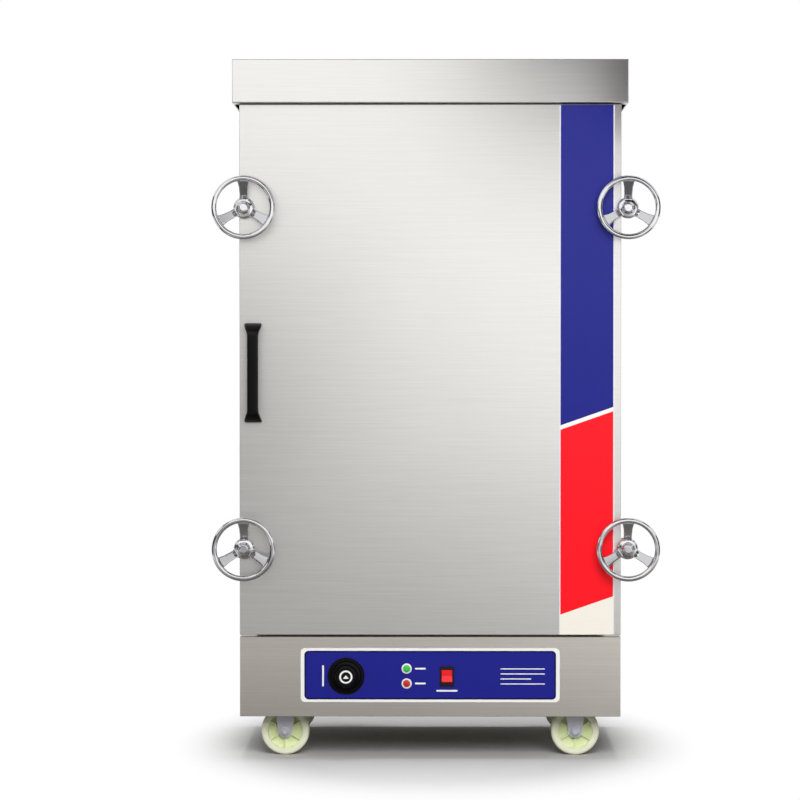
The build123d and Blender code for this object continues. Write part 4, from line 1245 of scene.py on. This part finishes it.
@dataclass
class Studio:
    """Pale floor, soft lamps and a long lens straight before the cabinet.

    Args:
        centre_x: where the middle of the picture lies, in metres, as are all sizes but the sensor's.
        centre_z: height of the middle of the picture.
        view_width: what the picture spans at the door's front.
        eye_x: the camera's place across, which the hood's underside in the photograph gives.
        eye_z: the camera's height.
        distance: how far the camera stands before the door; the rear casters give it.
        sensor: width of the camera's sensor in millimetres.
        light_front: strength of the world's light from the front.
        light_behind: strength of its light from behind.
        light_turn: over which part of the directions the one turns into the other, on each side.
        floor_size: side of the floor.
        floor_seen: colour of the floor for the camera.
        floor_lit: darker colour of the floor near the cabinet, for reflections and bounced light.
        floor_oval: how the oval in which the floor stays grey is squeezed along x and y.
        fade_seen: where the floor fades to white for the camera, from its middle.
        fade_mirrored: where it fades to white for reflections.
    """

    centre_x: float = -0.0675
    centre_z: float = 0.6801
    view_width: float = 1.5096
    eye_x: float = -0.0105
    eye_z: float = 0.83
    distance: float = 6.5
    sensor: float = 36.0
    light_front: float = 0.50
    light_behind: float = 0.22
    light_turn: float = 0.3
    floor_size: float = 60.0
    floor_seen: str = "#D0D0D0"
    floor_lit: str = "#8A867F"
    floor_oval: Point = (1.42, 0.8, 1.0)
    fade_seen: tuple[float, float] = (0.44, 0.74)
    fade_mirrored: tuple[float, float] = (1.2, 2.4)

    def camera(self) -> None:
        """Sets the camera at the photograph's angle."""
        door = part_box("door_skin")[0].y
        data = bpy.data.cameras.new("camera")
        data.sensor_width = self.sensor
        eye = Vector((self.eye_x, door - self.distance, self.eye_z))
        aim = Vector((self.centre_x, door, self.centre_z)) - eye
        data.lens = self.sensor * aim.length / self.view_width
        data.clip_end = 100
        camera = bpy.data.objects.new("camera", data)
        camera.location = eye
        camera.rotation_euler = aim.to_track_quat("-Z", "Y").to_euler()
        bpy.context.scene.collection.objects.link(camera)
        bpy.context.scene.camera = camera

    def lamp(self, name: str, place: Point, target: Point, size: float, power: float) -> None:
        """Adds a square soft lamp, which reflections don't show.

        Args:
            name: its name.
            place: where it stands.
            target: what it points at.
            size: side length in metres.
            power: watts.
        """
        data = bpy.data.lights.new(name, "AREA")
        data.size = size
        data.energy = power
        lamp = bpy.data.objects.new(name, data)
        lamp.visible_glossy = False
        lamp.location = place
        lamp.rotation_euler = (Vector(target) - Vector(place)).to_track_quat("-Z", "Y").to_euler()
        bpy.context.scene.collection.objects.link(lamp)

    def world(self) -> None:
        """Makes the world white where the camera or a reflection sees it, and softer as light."""
        world = bpy.data.worlds.new("studio")
        bpy.context.scene.world = world
        world.use_nodes = True
        tree = world.node_tree
        tree.nodes.clear()
        rays = add_node(tree, "ShaderNodeLightPath")
        seen = add_node(tree, "ShaderNodeMath", {"operation": "MAXIMUM"},
                        {0: rays.outputs["Is Camera Ray"], 1: rays.outputs["Is Transmission Ray"]})
        glossy = add_node(tree, "ShaderNodeMath", {"operation": "MAXIMUM"},
                          {0: seen.outputs[0], 1: rays.outputs["Is Glossy Ray"]})
        coords = add_node(tree, "ShaderNodeTexCoord")
        parts = add_node(tree, "ShaderNodeSeparateXYZ", links={0: coords.outputs["Generated"]})
        soft = add_node(tree, "ShaderNodeMapRange",
                        {"From Min": -self.light_turn, "From Max": self.light_turn,
                         "To Min": self.light_front, "To Max": self.light_behind,
                         "interpolation_type": "SMOOTHSTEP"},
                        {"Value": parts.outputs["Y"]})
        strength = add_node(tree, "ShaderNodeMapRange", {"To Max": 1.0},
                            {"Value": glossy.outputs[0], "To Min": soft.outputs[0]})
        back = add_node(tree, "ShaderNodeBackground", {"Color": WHITE}, {"Strength": strength.outputs[0]})
        add_node(tree, "ShaderNodeOutputWorld", links={"Surface": back.outputs[0]})

    def floor(self) -> None:
        """Adds the floor, which fades to the white of the background."""
        floor = sheet("studio_floor", self.floor_size, self.floor_size)
        material = blank_material("floor_paper")
        tree = material.node_tree
        coords = add_node(tree, "ShaderNodeTexCoord")
        oval = add_node(tree, "ShaderNodeMapping", {"Scale": self.floor_oval},
                        {"Vector": coords.outputs["Object"]})
        reach = add_node(tree, "ShaderNodeVectorMath", {"operation": "LENGTH"}, {0: oval.outputs[0]})
        near, far = self.fade_seen
        seen = add_node(tree, "ShaderNodeMapRange",
                        {"From Min": near, "From Max": far, "interpolation_type": "SMOOTHSTEP"},
                        {"Value": reach.outputs["Value"]})
        near, far = self.fade_mirrored
        mirrored = add_node(tree, "ShaderNodeMapRange", {"From Min": near, "From Max": far},
                            {"Value": reach.outputs["Value"]})
        dark = add_node(tree, "ShaderNodeBsdfDiffuse", {"Color": linear(self.floor_lit)})
        bright = add_node(tree, "ShaderNodeBsdfDiffuse", {"Color": linear(self.floor_seen)})
        white = add_node(tree, "ShaderNodeEmission", {"Color": WHITE, "Strength": 1.0})
        rays = add_node(tree, "ShaderNodeLightPath")
        direct = add_node(tree, "ShaderNodeMath", {"operation": "MULTIPLY"},
                          {0: seen.outputs[0], 1: rays.outputs["Is Camera Ray"]})
        bounced = add_node(tree, "ShaderNodeMath", {"operation": "MULTIPLY"},
                           {0: mirrored.outputs[0], 1: rays.outputs["Is Glossy Ray"]})
        fade = add_node(tree, "ShaderNodeMath", {"operation": "MAXIMUM"},
                        {0: direct.outputs[0], 1: bounced.outputs[0]})
        paper = add_node(tree, "ShaderNodeMixShader",
                         links={0: rays.outputs["Is Camera Ray"], 1: dark.outputs[0], 2: bright.outputs[0]})
        mix = add_node(tree, "ShaderNodeMixShader",
                       links={0: fade.outputs[0], 1: paper.outputs[0], 2: white.outputs[0]})
        add_node(tree, "ShaderNodeOutputMaterial", links={"Surface": mix.outputs[0]})
        floor.data.materials.append(material)

    def card(self, name: str, centre: Point, size: tuple[float, float], turn: Point, glow: float) -> None:
        """Adds a grey card that glows at a fixed brightness, unlit by the lamps, which only reflections see:
        a painted reflection.

        Args:
            name: the card's name.
            centre: its middle in metres.
            size: its two sides before it is turned, in metres.
            turn: rotation about x, y and z in radians.
            glow: its brightness, where white is 1.
        """
        card = sheet(name, *size)
        settle(card, turn, centre)
        material = blank_material(name)
        paper = add_node(material.node_tree, "ShaderNodeEmission", {"Color": WHITE, "Strength": glow})
        add_node(material.node_tree, "ShaderNodeOutputMaterial", links={"Surface": paper.outputs[0]})
        card.data.materials.append(material)
        card.visible_camera = False
        card.visible_shadow = False
        card.visible_diffuse = False

    def build(self) -> None:
        """Builds the whole studio."""
        bpy.context.scene.view_settings.view_transform = "Standard"
        self.camera()
        self.world()
        self.floor()
        # Glowing cards seen only in reflections are painted reflections: a bright one over the door, and dark
        # ones that shade the door's lower left, the hood's right end and the wheels' rims.
        self.card("card_bright", (0.1, -2.6, 1.5), (3.4, 2.0), TO_FRONT, 1.42)
        self.card("card_left", (-1.5, -2.3, 0.45), (2.4, 1.1), TO_FRONT, 0.08)
        self.card("card_low", (-0.95, -2.0, 0.2), (2.8, 0.45), TO_FRONT, 0.5)
        self.card("card_floor", (0.0, -0.73, 0.01), (1.1, 0.56), FLAT, 0.14)
        self.card("card_hood", (0.72, -1.3, 1.85), (1.2, 1.15), TO_FRONT, 0.05)
        self.card("card_corner", (0.475, -0.55, 1.42), (0.29, 0.46), TO_FRONT, 0.03)
        for name, x in (("left", -0.9), ("right", 0.9)):
            self.card("flag_upper_" + name, (x, -0.55, 1.08), (0.36, 0.7), TO_SIDE, 0.03)
            self.card("flag_lower_" + name, (x, -0.55, 0.45), (0.36, 0.7), TO_SIDE, 0.03)
        self.card("flag_top", (0.0, -1.0, 2.4), (1.8, 0.9), FLAT, 0.05)
        self.lamp("key", (0.3, -3.3, 1.6), (0, 0, 0.6), 1.4, 86)
        self.lamp("top", (0.0, 0.1, 3.0), (0, 0.1, 0.0), 1.2, 85)


def main() -> None:
    """Builds the finishes, the fine pieces and the studio."""
    logging.basicConfig(level=logging.INFO, format="%(name)s: %(message)s")
    Studio().build()
    CadFinishes().dress()
    ControlPanel().dress()
    Handwheels().dress()
    PullHandle().dress()
    DoorSeal().dress()
    Fasteners().dress()


if __name__ == "__main__":
    main()
